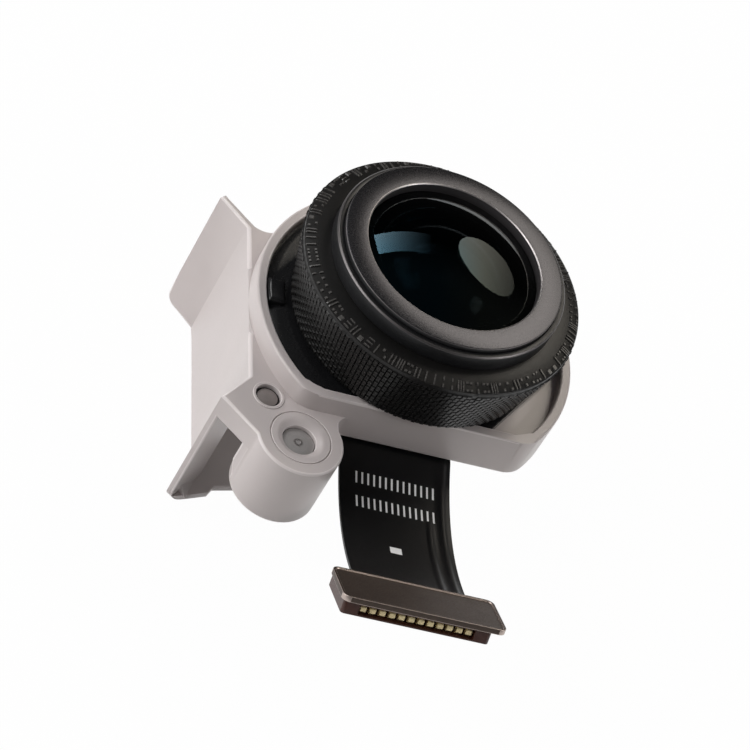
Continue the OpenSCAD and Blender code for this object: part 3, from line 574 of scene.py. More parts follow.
def edge_highlight_metal(name, colour):
    """Metal of an edge, lighter than the part round it: a painted highlight along the edge."""
    return surface(name, colour, 0.08, tones=(6, 3), gloss=(9, 3), rough=(0.34, 0.46), Metallic=1.0)


def turned_steel(name, colours, axis):
    """Satin steel with faint concentric tool marks."""
    finish = Finish(name, Metallic=0.7)
    finish.colour(finish.noise(5), colours.steel, 0.08)
    rings = finish.rings(6, axis)
    finish.rough(rings, 0.5, 0.58)
    finish.relief(rings, 0.4 * UM)
    return finish.material


def pin_brown(colours):
    """Brown grey burnished pin."""
    return surface("pin_brown", colours.pin, 0.18, tones=(3, 3), gloss=(8, 3), rough=(0.4, 0.5),
                   bump=(10, 3), height=2 * UM, Metallic=0.3)


def coated_glass(name, body, sheen, level, index=1.5):
    """Clear glass whose coating tints its reflection."""
    return glass_finish(name, body, sheen, level, index).material


def glass_finish(name, body, sheen, level, index):
    """Clear glass with a very faint haze."""
    finish = Finish(name, Base_Color=body, Specular_Tint=sheen, Specular_IOR_Level=level, IOR=index,
                    Transmission_Weight=1.0)
    finish.link(finish.spread(finish.noise(0.6, detail=1), 0.0, 0.006), finish.shader.inputs["Roughness"])
    return finish


def front_glass(body, left, right, turn_over):
    """Front lens whose coating turns from teal at its one side to green grey at the other."""
    finish = glass_finish("front_glass", body, left, 0.5, 1.3)
    sides = finish.node('ShaderNodeSeparateXYZ')
    finish.link(finish.place, sides.inputs[0])
    share = finish.spread(sides.outputs["X"], 0, 1, -turn_over, turn_over)
    finish.link(finish.tint(share, left, right), finish.shader.inputs["Specular Tint"])
    return finish.material


def dull_black(name, level):
    """Dull black of the rings and seals between the lenses, also put as painted shade in the gaps round the
    boss fittings.
    """
    return surface(name, (0.006, 0.006, 0.006), 0.3, tones=(4, 3), gloss=(9, 3), rough=(0.5, 0.7),
                   bump=(11, 3), height=2 * UM, Specular_IOR_Level=level)


def tail_film(colours):
    """Black cover film, smooth with a faint orange peel."""
    return surface("tail_film", colours.tail, 0.2, tones=(1.2, 3), gloss=(6, 3), rough=(0.3, 0.4),
                   bump=(2.2, 2), height=3 * UM, Specular_IOR_Level=0.3)


def white_print(colours):
    """White screen print with slightly uneven ink."""
    return surface("white_print", colours.print_white, 0.06, tones=(6, 3), gloss=(10, 3), rough=(0.5, 0.65),
                   Specular_IOR_Level=0.3)


def dark_bronze(colours):
    """Blackened bronze sheet with fine grain and a little wear."""
    return surface("dark_bronze", colours.bronze, 0.22, tones=(1.4, 5), gloss=(11, 4), rough=(0.34, 0.52),
                   bump=(11, 4), height=3.5 * UM, Metallic=0.75, Specular_IOR_Level=0.5)


def housing_brown(colours):
    """Red brown moulded block of the connector."""
    return surface("housing_brown", colours.housing, 0.3, tones=(3, 3), gloss=(9, 3), rough=(0.3, 0.45),
                   bump=(9, 3), height=2 * UM, Specular_IOR_Level=0.5)


def plated(name, colour, low, high, metal=1.0):
    """Plated or tinned metal with a soft uneven gloss."""
    return surface(name, colour, 0.1, tones=(5, 3), gloss=(7, 3), rough=(low, high),
                   bump=(6, 3), height=2 * UM, Metallic=metal)


def board_lacquer(colours):
    """Green board lacquer over faint copper lines."""
    finish = Finish("board_lacquer", Specular_IOR_Level=0.5)
    lines = finish.node('ShaderNodeTexBrick')
    lines.inputs["Scale"].default_value = 1 / MM
    lines.inputs["Mortar Size"].default_value = 0.06
    finish.link(finish.mapped(turn=(0, 0, math.radians(45))), lines.inputs["Vector"])
    finish.colour(lines.outputs["Fac"], colours.board, 0.35)
    finish.rough(finish.noise(5), 0.25, 0.38)
    finish.relief(lines.outputs["Fac"], 3 * UM)
    return finish.material


def plain_resin(name, colour, low, high):
    """Moulded resin or ceramic with a fine grain."""
    return surface(name, colour, 0.15, tones=(10, 4), gloss=(10, 4), rough=(low, high),
                   bump=(10, 4), height=2.5 * UM, Specular_IOR_Level=0.45)


# Pieces

def settings(context):
    """Sizes and colours as the user has set them."""
    return context.scene.module_sizes, context.scene.module_colours


class MODULE_OT_bracket(bpy.types.Operator):
    """Makes the moulded bracket with soft edges"""

    bl_idname = "module.bracket"
    bl_label = "Bracket"
    bl_options = {'REGISTER', 'UNDO'}

    PLATE_T = 1.35 * MM
    POCKET_DEPTH = 0.75 * MM
    RIM_ROUND = 0.25 * MM
    RUN_IN = 2.3 * MM
    BESIDE_WALL = 1.5 * MM
    BOSS_RING_R = 1.9 * MM
    BOSS_BEHIND = 0.2 * MM
    DATUM_RING_R = 1.05 * MM
    # Limits of the places that are too narrow for a round
    FOLD_W, FOLD_TOP, FOLD_H = 1.3 * MM, -4.6 * MM, 1.35 * MM
    BELOW_RIGHT, BELOW_TOP = -4 * MM, -5 * MM
    HOLLOW_IN, HOLLOW_RIGHT = 0.2 * MM, -6.6 * MM
    HOLLOW_LOW, HOLLOW_TOP = 4.9 * MM, 5.6 * MM
    SCREW_Y, SCREW_HALF = 3.9 * MM, 0.6 * MM
    FLAT_X, FLAT_HALF, FLAT_TOP = 0.2 * MM, 5.4 * MM, -5.4 * MM
    LEAD_RIGHT, LEAD_LOW = -5.9 * MM, -7.4 * MM
    LEAD_BEHIND, LEAD_BEFORE = -0.05 * MM, 0.55 * MM
    CORNER_LEFT, CORNER_RIGHT, CORNER_LOW = -4.4 * MM, -3.0 * MM, -6.6 * MM

    def execute(self, context):
        sizes, colours = settings(context)
        self.low, self.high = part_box("bracket")
        self.rear_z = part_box("sensor_board")[1].z
        self.plate_z = self.rear_z + self.PLATE_T
        self.wall_x = mount_place("side_face").x
        self.boss = axis_of("boss_insert")
        self.datum = axis_of("datum_pin")
        self.boss_rear_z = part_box("boss_insert")[0].z
        piece = node_copy("bracket", "bracket_moulding")
        open_edit(piece)
        for side in (-1, 1):
            choose(piece, 'FACE', self.meets_front_edge)
            bpy.ops.mesh.bisect(plane_co=(0, side * self.RUN_IN, 0), plane_no=(0, 1, 0))
        self.weigh(piece, lambda edge: is_outer(edge) and self.is_fine(edge),
                   sizes.fine_round / sizes.wall_round)
        self.weigh(piece, self.is_front_edge, 1)
        self.weigh(piece, self.is_plain_edge, sizes.bracket_round / sizes.wall_round)
        close_edit()
        finish_piece(piece, moulded_grey("moulded_grey", colours.bracket), "bracket_plastic", "bracket")
        # The rounded edges get a lighter grey, a painted highlight along the bracket's edges.
        piece.data.materials.append(moulded_grey("rubbed_grey", colours.bracket_edge_highlight))
        apply_modifier(piece, 'BEVEL', width=sizes.wall_round, segments=ROUND_STEPS, limit_method='WEIGHT',
                       use_clamp_overlap=False, miter_outer='MITER_ARC', material=1)
        smooth(piece)
        return {'FINISHED'}

    @staticmethod
    def weigh(piece, test, weight):
        """Sets how wide the edges that pass a test are rounded, as a share of the widest round."""
        choose(piece, 'EDGE', test)
        bpy.ops.transform.edge_bevelweight(value=weight)

    def meets_front_edge(self, face):
        """True for the wall's outer face and for the plate's front face beside it."""
        point = face.calc_center_median()
        outer = face.normal.x < -SQUARE and abs(point.x - self.wall_x) < NEAR
        front = face.normal.z > SQUARE and abs(point.z - self.plate_z) < NEAR
        return outer or front and point.x < self.wall_x + self.BESIDE_WALL

    def on_front_edge(self, edge):
        """True for the straight edge between the wall's outer face and its front end."""
        return all(abs(vert.co.x - self.wall_x) < NEAR and abs(vert.co.z - self.plate_z) < NEAR
                   for vert in edge.verts)

    def is_front_edge(self, edge):
        """True for the part of that edge that stays clear of the collar."""
        return is_outer(edge) and self.on_front_edge(edge) and abs(middle(edge).y) > self.RUN_IN

    def is_plain_edge(self, edge):
        """True for an outer edge of ordinary width."""
        special = self.is_fine(edge) or self.on_front_edge(edge) or self.is_narrow(edge)
        return is_outer(edge) and not special

    def is_fine(self, edge):
        """True at the boss's hole with its ring groove, and at the datum hole with its ring."""
        point = middle(edge)
        at_boss = away(point, self.boss) < self.BOSS_RING_R and point.z > self.rear_z - self.BOSS_BEHIND
        return at_boss or away(point, self.datum) < self.DATUM_RING_R

    def is_narrow(self, edge):
        """True where a face beside the edge is too narrow for a round."""
        x, y, z = middle(edge)
        fold = x < self.wall_x + self.FOLD_W and y < self.FOLD_TOP and z < self.low.z + self.FOLD_H
        below = x < self.BELOW_RIGHT and y < self.BELOW_TOP and abs(z - self.rear_z) < NEAR
        hollow = self.wall_x + self.HOLLOW_IN < x < self.HOLLOW_RIGHT
        hollow = hollow and self.HOLLOW_LOW < y < self.HOLLOW_TOP
        screws = abs(y - self.SCREW_Y) < self.SCREW_HALF and z < self.rear_z + NEAR
        flat_end = abs(x - self.FLAT_X) > self.FLAT_HALF and y < self.FLAT_TOP
        flat_end = flat_end and z > self.high.z - self.RIM_ROUND
        lead_end = x < self.LEAD_RIGHT and y > self.LEAD_LOW
        lead_end = lead_end and self.LEAD_BEHIND < z - self.boss_rear_z < self.LEAD_BEFORE
        pocket = abs(z - self.high.z + self.POCKET_DEPTH) < NEAR
        corner = self.CORNER_LEFT < x < self.CORNER_RIGHT and y > self.CORNER_LOW and z < self.plate_z + NEAR
        return fold or below or hollow or screws or flat_end or lead_end or pocket or corner


class MODULE_OT_boss_fittings(bpy.types.Operator):
    """Makes the threaded insert in the boss and the datum pin"""

    bl_idname = "module.boss_fittings"
    bl_label = "Boss fittings"
    bl_options = {'REGISTER', 'UNDO'}

    FRONT_R = 0.88 * MM
    FRONT_SINK = 0.15 * MM
    NECK_LEN = 0.42 * MM
    PIP_IN, PIP_OUT = 0.14 * MM, 0.23 * MM
    PIP_H = 0.03 * MM
    THREAD_R = 0.625 * MM
    THREAD_LEN = 2.6 * MM
    # Width of the dull black ring of painted shade round the fronts of the insert and the pin
    SHADE_RING_W = 0.06 * MM
    CROWN_R = 1.8 * MM
    CROWN_STEPS = 16
    THREAD_ANGLE = math.radians(30)

    def execute(self, context):
        sizes, colours = settings(context)
        insert = self.turned("boss_insert", self.insert_line(sizes))
        soften(insert, sizes.fine_round, lambda edge: is_outer(edge) and self.at_front(edge))
        smooth(insert, self.THREAD_ANGLE)
        axis = axis_of("boss_insert")
        finish_piece(insert, turned_steel("insert_steel", colours, axis), "insert_steel", "boss_insert")
        # The dull black rings round the fronts are painted shade in the gaps round the insert and the pin.
        painted_gap_shade = dull_black("fitting_gap", 0.2)
        second_finish(insert, painted_gap_shade, lambda face: self.from_axis(face, axis) > self.FRONT_R - self.SHADE_RING_W)
        # The pip ring gets lighter metal, a painted highlight on it.
        second_finish(insert, edge_highlight_metal("insert_ring", colours.lip_highlight_metal),
                      lambda face: self.PIP_IN < self.from_axis(face, axis) < self.PIP_OUT
                      and face.normal.z > FACING)
        pin = self.turned("datum_pin", self.pin_line())
        smooth(pin)
        finish_piece(pin, pin_brown(colours), "pin_steel", "datum_pin")
        pin_axis = axis_of("datum_pin")
        pin_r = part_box("datum_pin")[1].x - pin_axis.x
        # Painted shade round the pin's front, in the gap round it.
        second_finish(pin, painted_gap_shade, lambda face: self.from_axis(face, pin_axis) > pin_r - self.SHADE_RING_W)
        return {'FINISHED'}

    @staticmethod
    def from_axis(face, axis):
        """Distance of a face from an upright axis."""
        return away(face.calc_center_median(), axis)

    @staticmethod
    def turned(node, line):
        """Solid spun from half of its section about a node's axis."""
        axis = axis_of(node)
        piece = line_object(node + "_turned", [(axis.x + out, axis.y, level) for out, level in line])
        spin_section(piece, axis)
        return piece

    def insert_line(self, sizes):
        """Half section of the insert: ringed front, neck, body and thread."""
        low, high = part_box("boss_insert")
        body_r = (high.x - low.x) / 2
        neck = high.z - self.PIP_H - self.NECK_LEN
        front = high.z - self.PIP_H - self.FRONT_SINK
        line = [(0, front), (self.PIP_IN, front), (self.PIP_IN, front + self.PIP_H),
                (self.PIP_OUT, front + self.PIP_H), (self.PIP_OUT, front), (self.FRONT_R, front),
                (self.FRONT_R, neck), (body_r, neck), (body_r, low.z), (self.THREAD_R, low.z)]
        turns = round(self.THREAD_LEN / sizes.thread_pitch * 2)
        for turn in range(1, turns):
            depth = sizes.thread_depth * (turn % 2)
            line.append((self.THREAD_R + depth, low.z + self.THREAD_LEN * turn / turns))
        return line + [(self.THREAD_R, low.z + self.THREAD_LEN), (0, low.z + self.THREAD_LEN)]

    def at_front(self, edge):
        """True for the rim of the insert's front."""
        return away(middle(edge), axis_of("boss_insert")) > self.FRONT_R - self.PIP_IN

    def pin_line(self):
        """Half section of the pin with its crowned front."""
        low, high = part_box("datum_pin")
        crown = cap_line(high.z, self.CROWN_R, (high.x - low.x) / 2, self.CROWN_STEPS)
        return [(out, level) for out, _, level in crown] + [(crown[-1][0], low.z), (0, low.z)]


class MODULE_OT_lens_holder(bpy.types.Operator):
    """Makes the black holder with its flange and key"""

    bl_idname = "module.lens_holder"
    bl_label = "Lens holder"
    bl_options = {'REGISTER', 'UNDO'}

    KEY_FRONT = -4.15 * MM
    KEY_FROM = -6.5 * MM

    def execute(self, context):
        sizes, colours = settings(context)
        piece = node_copy("lens_holder", "lens_holder_moulding")
        soften(piece, sizes.key_round, self.on_key)
        soften(piece, sizes.holder_round, is_outer)
        smooth(piece)
        finish_piece(piece, black_plastic(colours), "holder_plastic", "lens_holder")
        return {'FINISHED'}

    def on_key(self, edge):
        """True for an edge round the key's front face."""
        point = middle(edge)
        return is_outer(edge) and point.x < self.KEY_FROM and abs(point.z - self.KEY_FRONT) < NEAR


class MODULE_OT_lens_barrel(bpy.types.Operator):
    """Makes the turned barrel with its nose"""

    bl_idname = "module.lens_barrel"
    bl_label = "Lens barrel"
    bl_options = {'REGISTER', 'UNDO'}

    EDGE_W = 0.15 * MM
    BORE_IN = 0.8 * MM

    def execute(self, context):
        sizes, colours = settings(context)
        piece = section_copy("lens_barrel", "lens_barrel_turned")
        spin_section(piece, axis_of("lens_barrel"))
        soften(piece, sizes.turned_round)
        smooth(piece)
        finish_piece(piece, barrel_black(colours), "barrel_black", "lens_barrel")
        nose_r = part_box("lens_barrel")[1].x
        # The nose's chamfer gets lighter metal, a painted highlight along it.
        second_finish(piece, edge_highlight_metal("nose_edge", colours.edge_highlight_metal),
                      lambda face: is_slanted(face) and at_radius(face) > nose_r - self.EDGE_W)
        bore_r = nose_r - self.BORE_IN
        second_finish(piece, dull_black("barrel_bore", 0.05),
                      lambda face: at_radius(face) < bore_r and not is_slanted(face))
        return {'FINISHED'}


class MODULE_OT_grip_band(bpy.types.Operator):
    """Makes the grip band with its crosshatch and the raised marks on its front bevel"""

    bl_idname = "module.grip_band"
    bl_label = "Grip band"
    bl_options = {'REGISTER', 'UNDO'}

    CELL_GAP = 0.035 * MM
    LOW_SHARE = 0.65
    EDGE_ROUND = 0.035 * MM
    EDGE_STEPS = 2
    BORE_CLEAR = 0.2 * MM
    LIP_W = 0.58 * MM
    MARK_SEED = 11
    MARK_W = 0.34 * MM
    MARK_H = 0.55 * MM
    MARK_FROM = 0.42 * MM
    MARK_STEP = 0.42 * MM
    STROKE = 0.085 * MM
    MARK_SINK = 0.02 * MM
    TAPER = 0.7
    # Bars of each mark: place across and out, width and length, as shares of the mark
    MARKS = (
        ((0.0, 0.5, 0.0, 1.0),),
        ((-0.3, 0.5, 0.0, 1.0), (0.3, 0.5, 0.0, 1.0)),
        ((-0.4, 0.5, 0.0, 1.0), (0.0, 0.5, 0.0, 1.0), (0.4, 0.5, 0.0, 1.0)),
        ((-0.3, 0.15, 0.2, 0.1), (0.3, 0.15, 0.2, 0.1), (-0.3, 0.85, 0.2, 0.1), (0.3, 0.85, 0.2, 0.1)),
        ((0.0, 0.75, 0.6, 0.4),),
        ((0.0, 0.1, 0.9, 0.0), (0.0, 0.5, 0.9, 0.0), (0.0, 0.9, 0.9, 0.0)),
        ((-0.3, 0.2, 0.2, 0.15), (0.3, 0.8, 0.2, 0.15)),
        ((0.0, 0.15, 0.0, 0.3), (0.0, 0.85, 0.0, 0.3)),
    )

    def execute(self, context):
        sizes, colours = settings(context)
        self.low, self.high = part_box("grip_band")
        piece = section_copy("grip_band", "grip_band_knurled")
        self.wide = max(vert.co.x for vert in piece.data.vertices)
        self.bore = min(vert.co.x for vert in piece.data.vertices)
        rim = [vert.co.z for vert in piece.data.vertices if self.wide - vert.co.x < UM]
        self.edge_low, self.edge_high = min(rim), max(rim)
        open_edit(piece)
        choose(piece, 'EDGE', self.is_cone_line)
        bpy.ops.mesh.subdivide(number_cuts=sizes.grip_rows - 1)
        close_edit()
        spin_section(piece, axis_of("grip_band"), sizes.grip_cells)
        open_edit(piece)
        choose(piece, 'EDGE', self.is_rim)
        bpy.ops.mesh.bevel(offset=self.EDGE_ROUND, segments=self.EDGE_STEPS, affect='EDGES',
                           clamp_overlap=True)
        for odd, relief in enumerate((sizes.grip_relief, sizes.grip_relief * self.LOW_SHARE)):
            choose(piece, 'FACE', lambda face: self.on_cone(face) and self.cell(face, sizes) == odd)
            bpy.ops.mesh.inset(thickness=self.CELL_GAP, depth=relief, use_individual=True)
        close_edit()
        smooth(piece)
        finish_piece(piece, grip_black(colours), "grip_rubber", "grip_band")
        self.marks(sizes, mark_black(colours))
        return {'FINISHED'}

    def is_cone_line(self, edge):
        """True for the section's long line on the flared side."""
        ends = sorted(vert.co.z for vert in edge.verts)
        tall = ends[1] - ends[0] > (self.high.z - self.low.z) / 2
        return tall and min(vert.co.x for vert in edge.verts) > self.bore + UM

    def is_rim(self, edge):
        """True for the two ring edges of the band's straight outer edge."""
        level = abs(edge.verts[0].co.z - edge.verts[1].co.z) < UM
        return level and all(vert.co.xy.length > self.wide - 2 * UM for vert in edge.verts)

    def on_cone(self, face):
        """True for a cell of the flared side."""
        point = face.calc_center_median()
        out = Vector((point.x, point.y, 0)).normalized()
        outside = face.normal.dot(out) > FACING and point.xy.length > self.bore + self.BORE_CLEAR
        return outside and point.z < self.edge_low - self.EDGE_ROUND and len(face.verts) == 4

    def cell(self, face, sizes):
        """0 or 1 as on a chess board, by the cell's column and row."""
        point = face.calc_center_median()
        column = math.floor(math.atan2(point.y, point.x) / FULL_TURN * sizes.grip_cells)
        row = math.floor((point.z - self.low.z) / (self.edge_low - self.low.z) * sizes.grip_rows)
        return (column + row) % 2

    def marks(self, sizes, finish):
        """Ring of raised bars, blocks and dots on the front bevel."""
        dice = random.Random(self.MARK_SEED)
        lip_r = self.bore + self.LIP_W
        slope = math.atan2(self.high.z - self.edge_high, self.wide - lip_r)
        bar = block("bar", (-0.5, -0.5, 0), (0.5, 0.5, 1))
        open_edit(bar)
        choose(bar, 'FACE', lambda face: face.normal.z > LEVEL)
        bpy.ops.transform.resize(value=(self.TAPER, self.TAPER, 1))
        close_edit()
        bars = []
        count = round(FULL_TURN * lip_r / self.MARK_STEP)
        for index in range(count):
            turn = FULL_TURN * index / count
            place = Matrix.Rotation(turn, 4, 'Z') @ Matrix.Translation((lip_r, 0, self.high.z))
            place = place @ Matrix.Rotation(slope, 4, 'Y')
            for across, out, wide, long in dice.choice(self.MARKS):
                at = Matrix.Translation(
                    (self.MARK_FROM + out * self.MARK_H, across * self.MARK_W, -self.MARK_SINK))
                size = (long * self.MARK_H + self.STROKE, wide * self.MARK_W + self.STROKE,
                        sizes.mark_height + self.MARK_SINK)
                bars.append(self.stamped(bar, place @ at @ Matrix.Diagonal((*size, 1))))
        bpy.data.objects.remove(bar)
        piece = join(bars, "grip_band_marks")
        finish_piece(piece, finish, "grip_rubber")

    @staticmethod
    def stamped(bar, place):
        """Copy of a bar with its own mesh, at its place."""
        copy = bpy.data.objects.new("bar", bar.data.copy())
        copy.data.transform(place)
        bpy.context.collection.objects.link(copy)
        return copy


class MODULE_OT_bezel_ring(bpy.types.Operator):
    """Makes the satin bezel ring with its bright edges"""

    bl_idname = "module.bezel_ring"
    bl_label = "Bezel ring"
    bl_options = {'REGISTER', 'UNDO'}

    OUTER_W = 0.3 * MM

    def execute(self, context):
        sizes, colours = settings(context)
        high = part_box("bezel_ring")[1]
        piece = section_copy("bezel_ring", "bezel_ring_turned")
        open_edit(piece)
        choose(piece, 'VERT', lambda vert: vert.co.z > high.z - UM and vert.co.x > high.x - self.OUTER_W)
        bpy.ops.transform.translate(value=(0, 0, -sizes.bezel_fall))
        close_edit()
        spin_section(piece, axis_of("bezel_ring"))
        soften(piece, sizes.turned_round)
        smooth(piece)
        finish_piece(piece, satin_bezel(colours), "bezel_metal", "bezel_ring")
        bore = min(vert.co.xy.length for vert in piece.data.vertices)
        middle_r = (bore + high.x) / 2
        # The bezel's chamfers get lighter metal, painted highlights along the outer edge and the inner lip.
        second_finish(piece, edge_highlight_metal("bezel_edge", colours.edge_highlight_metal),
                      lambda face: is_slanted(face) and at_radius(face) > middle_r)
        second_finish(piece, edge_highlight_metal("bezel_lip", colours.lip_highlight_metal),
                      lambda face: is_slanted(face) and at_radius(face) < middle_r)
        second_finish(piece, barrel_black(colours),
                      lambda face: is_upright(face) and at_radius(face) > middle_r)
        second_finish(piece, plain_resin("bezel_bore", colours.bezel_bore, 0.5, 0.62),
                      lambda face: is_upright(face) and at_radius(face) < middle_r)
        return {'FINISHED'}


class MODULE_OT_lenses(bpy.types.Operator):
    """Makes the front lens and the second lens as smooth domes, and dresses the stack behind them"""

    bl_idname = "module.lenses"
    bl_label = "Lenses"
    bl_options = {'REGISTER', 'UNDO'}

    DOME_EDGE = 0.12 * MM
    DOME_GAP = 0.05 * MM
    HOLLOW_R = 3.4 * MM
    HOLLOW_CURVE = 4.4 * MM
    CAP_R = 3.0 * MM
    CAP_CURVE = 9.0 * MM
    REAR_R = 2.25 * MM
    REAR_CURVE = 3.2 * MM
    ARC_STEPS = 32
    LENS_ANGLE = math.radians(20)
    # Colour of the front lens, dark as painted shade over the lens's inside, of its coating at the left and
    # at the right, and how far the change reaches
    FRONT_GLASS = ((0.03, 0.035, 0.037), (0.26, 0.72, 1.0), (0.83, 1.0, 0.9), 1.2 * MM)
    # Colour of a glass, grey rather than clear as painted shade over the lenses behind it, and of its
    # coating, and how strong its reflection is
    SECOND_GLASS = ((0.2, 0.24, 0.21), (0.7, 0.95, 0.65), 0.6)
    INNER_GLASS = ((0.2, 0.23, 0.21), (0.8, 0.75, 0.45), 0.5)

    def execute(self, context):
        front = self.spun("front_lens_dome", self.front_line())
        finish_piece(front, front_glass(*self.FRONT_GLASS), "front_glass", "front_lens")
        second = self.spun("second_lens_dome", self.second_line())
        finish_piece(second, coated_glass("second_glass", *self.SECOND_GLASS), "inner_glass", "second_lens")
        inner = coated_glass("inner_glass", *self.INNER_GLASS)
        for node in ("third_lens", "fourth_lens", "fifth_lens"):
            dress(node, inner)
        rings = dull_black("ring_black", 0.2)
        for node in ("spacer_ring", "stop_spacer", "aperture_stop", "lock_ring"):
            dress(node, rings)
        dress("front_seal", dull_black("seal_rubber", 0.3))
        return {'FINISHED'}

    def spun(self, name, outline):
        """Solid of glass spun from half of its section."""
        piece = line_object(name, outline)
        spin_section(piece, Vector((0, 0, 0)))
        only(piece)
        bpy.ops.object.shade_smooth_by_angle(angle=self.LENS_ANGLE)
        return piece

    def front_line(self):
        """Half section of the front lens: dome, shoulder under the bezel, rim and hollow rear."""
        low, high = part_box("front_lens")
        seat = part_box("bezel_ring")[0].z
        bore = min(vert.co.xy.length for vert in frame["nodes"]["bezel_ring"].data.vertices)
        dome_r = bore - self.DOME_GAP
        rise = high.z - (seat + self.DOME_EDGE)
        curve = (dome_r * dome_r + rise * rise) / (2 * rise)
        dome = cap_line(high.z, curve, dome_r, self.ARC_STEPS)
        shoulder = [(dome_r, 0, seat), (high.x, 0, seat), (high.x, 0, low.z)]
        return dome + shoulder + self.hollow(low.z, self.HOLLOW_CURVE, self.HOLLOW_R)

    def second_line(self):
        """Half section of the second lens: flat cap, rim and hollow rear."""
        low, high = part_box("second_lens")
        cap = cap_line(high.z, self.CAP_CURVE, self.CAP_R, self.ARC_STEPS)
        front = high.z - sag(self.CAP_CURVE, self.CAP_R)
        rim = [(high.x, 0, front), (high.x, 0, low.z)]
        return cap + rim + self.hollow(low.z, self.REAR_CURVE, self.REAR_R)

    def hollow(self, rear_z, curve, aperture):
        """Hollow rear face from its edge in to the axis."""
        return cap_line(rear_z + sag(curve, aperture), curve, aperture, self.ARC_STEPS)[::-1]


class MODULE_OT_sensor_board(bpy.types.Operator):
    """Makes the board, its parts, the stiffener and the screws"""

    bl_idname = "module.sensor_board"
    bl_label = "Sensor board"
    bl_options = {'REGISTER', 'UNDO'}

    CHIP = (0.012, 0.012, 0.013)
    CERAMIC = (0.3, 0.19, 0.1)
    STIFFENER = (0.55, 0.54, 0.53)
    SCREWS = (0.5, 0.5, 0.51)
    SENSOR = (0.03, 0.03, 0.034)
    # Colour of a glass and of its coating, and how strong its reflection is
    SENSOR_GLASS = ((0.9, 0.95, 1.0), (0.7, 0.8, 1.0), 0.5)
    FILTER_GLASS = ((0.6, 0.85, 0.9), (0.9, 0.5, 0.6), 0.5)

    def execute(self, context):
        sizes, colours = settings(context)
        fine = sizes.fine_round
        self.part("sensor_board", board_lacquer(colours), "board_laminate", fine)
        resin = plain_resin("chip_resin", self.CHIP, 0.4, 0.55)
        self.part("board_chip", resin, "chip_resin", sizes.metal_round)
        ceramic = plain_resin("capacitor_ceramic", self.CERAMIC, 0.35, 0.5)
        self.part("board_capacitors", ceramic, "capacitor_ceramic", fine)
        self.part("stiffener", plated("stiffener_steel", self.STIFFENER, 0.3, 0.42), "stiffener_steel", fine)
        self.part("board_screws", plated("screw_steel", self.SCREWS, 0.22, 0.34), "screw_steel", fine)
        dress("image_sensor", plain_resin("sensor_ceramic", self.SENSOR, 0.3, 0.45))
        dress("sensor_glass", coated_glass("sensor_glass", *self.SENSOR_GLASS))
        dress("ir_filter", coated_glass("filter_glass", *self.FILTER_GLASS))
        return {'FINISHED'}

    @staticmethod
    def part(node, finish, slot, width):
        """Part of the board with fine edges."""
        soft_copy(node, node + "_finished", finish, slot, width)


class MODULE_OT_flex_tail(bpy.types.Operator):
    """Makes the flexible tail with its ridges and its white print"""

    bl_idname = "module.flex_tail"
    bl_label = "Flexible tail"
    bl_options = {'REGISTER', 'UNDO'}

    RIDGES = (2.55 * MM, 1.8 * MM)
    RIDGE_CUTS = 6
    RIDGE_START = -10 * MM
    RIDGE_SIDE = 0.3
    TICK_ROWS = (-8.3 * MM, -9.62 * MM)
    TICK_COUNT = 14
    TICK_PITCH = 0.32 * MM
    TICK_SIZE = (0.1 * MM, 0.85 * MM)
    MARK_AT = (-0.22 * MM, -12.63 * MM)
    MARK_SIZE = (0.62 * MM, 0.46 * MM)

    def execute(self, context):
        sizes, colours = settings(context)
        piece = node_copy("flex_tail", "flex_tail_film")
        open_edit(piece)
        for ridge_x in self.RIDGES:
            for cut in range(-self.RIDGE_CUTS, self.RIDGE_CUTS + 1):
                at = ridge_x + sizes.ridge_width / 2 * cut / self.RIDGE_CUTS
                bpy.ops.mesh.select_all(action='SELECT')
                bpy.ops.mesh.bisect(plane_co=(at, 0, 0), plane_no=(1, 0, 0))
        close_edit()
        self.raise_ridges(piece, sizes)
        smooth(piece)
        finish_piece(piece, tail_film(colours), "tail_film", "flex_tail")
        self.print_marks(piece, sizes, colours)
        return {'FINISHED'}

    def raise_ridges(self, piece, sizes):
        """Lifts the front face's lengthwise lines to round ridges."""
        half = sizes.ridge_width / 2
        open_edit(piece)
        for index, ridge_x in enumerate(self.RIDGES):
            for cut in range(1 - self.RIDGE_CUTS, self.RIDGE_CUTS):
                at = ridge_x + half * cut / self.RIDGE_CUTS
                lift = sizes.ridge_height * (1 + math.cos(math.pi * cut / self.RIDGE_CUTS)) / 2
                choose(piece, 'VERT', lambda vert: abs(vert.co.x - at) < UM
                       and vert.normal.z > self.RIDGE_SIDE
                       and (index == 0 or vert.co.y < self.RIDGE_START))
                bpy.ops.transform.shrink_fatten(value=lift)
        close_edit()

    def print_marks(self, film, sizes, colours):
        """White ticks in two rows and one square mark, laid on the film."""
        marks = []
        for row_y in self.TICK_ROWS:
            for tick in range(self.TICK_COUNT):
                x = (tick - (self.TICK_COUNT - 1) / 2) * self.TICK_PITCH
                marks.append(self.pad(film, (x, row_y), self.TICK_SIZE, sizes.print_thickness))
        marks.append(self.pad(film, self.MARK_AT, self.MARK_SIZE, sizes.print_thickness))
        piece = join(marks, "tail_print")
        finish_piece(piece, white_print(colours), "tail_film")

    def pad(self, film, at, size, thickness):
        """Thin pad of print that lies on the film's front face."""
        found, point, normal, _ = film.ray_cast(Vector((at[0], at[1], 0)), Vector((0, 0, -1)))
        if not found:
            raise RuntimeError("the print finds no film under it")
        half = Vector((size[0], size[1], thickness)) / 2
        piece = block("pad", -half, half)
        tilt = Vector((0, 0, 1)).rotation_difference(normal).to_matrix().to_4x4()
        piece.data.transform(Matrix.Translation(point) @ tilt)
        return piece


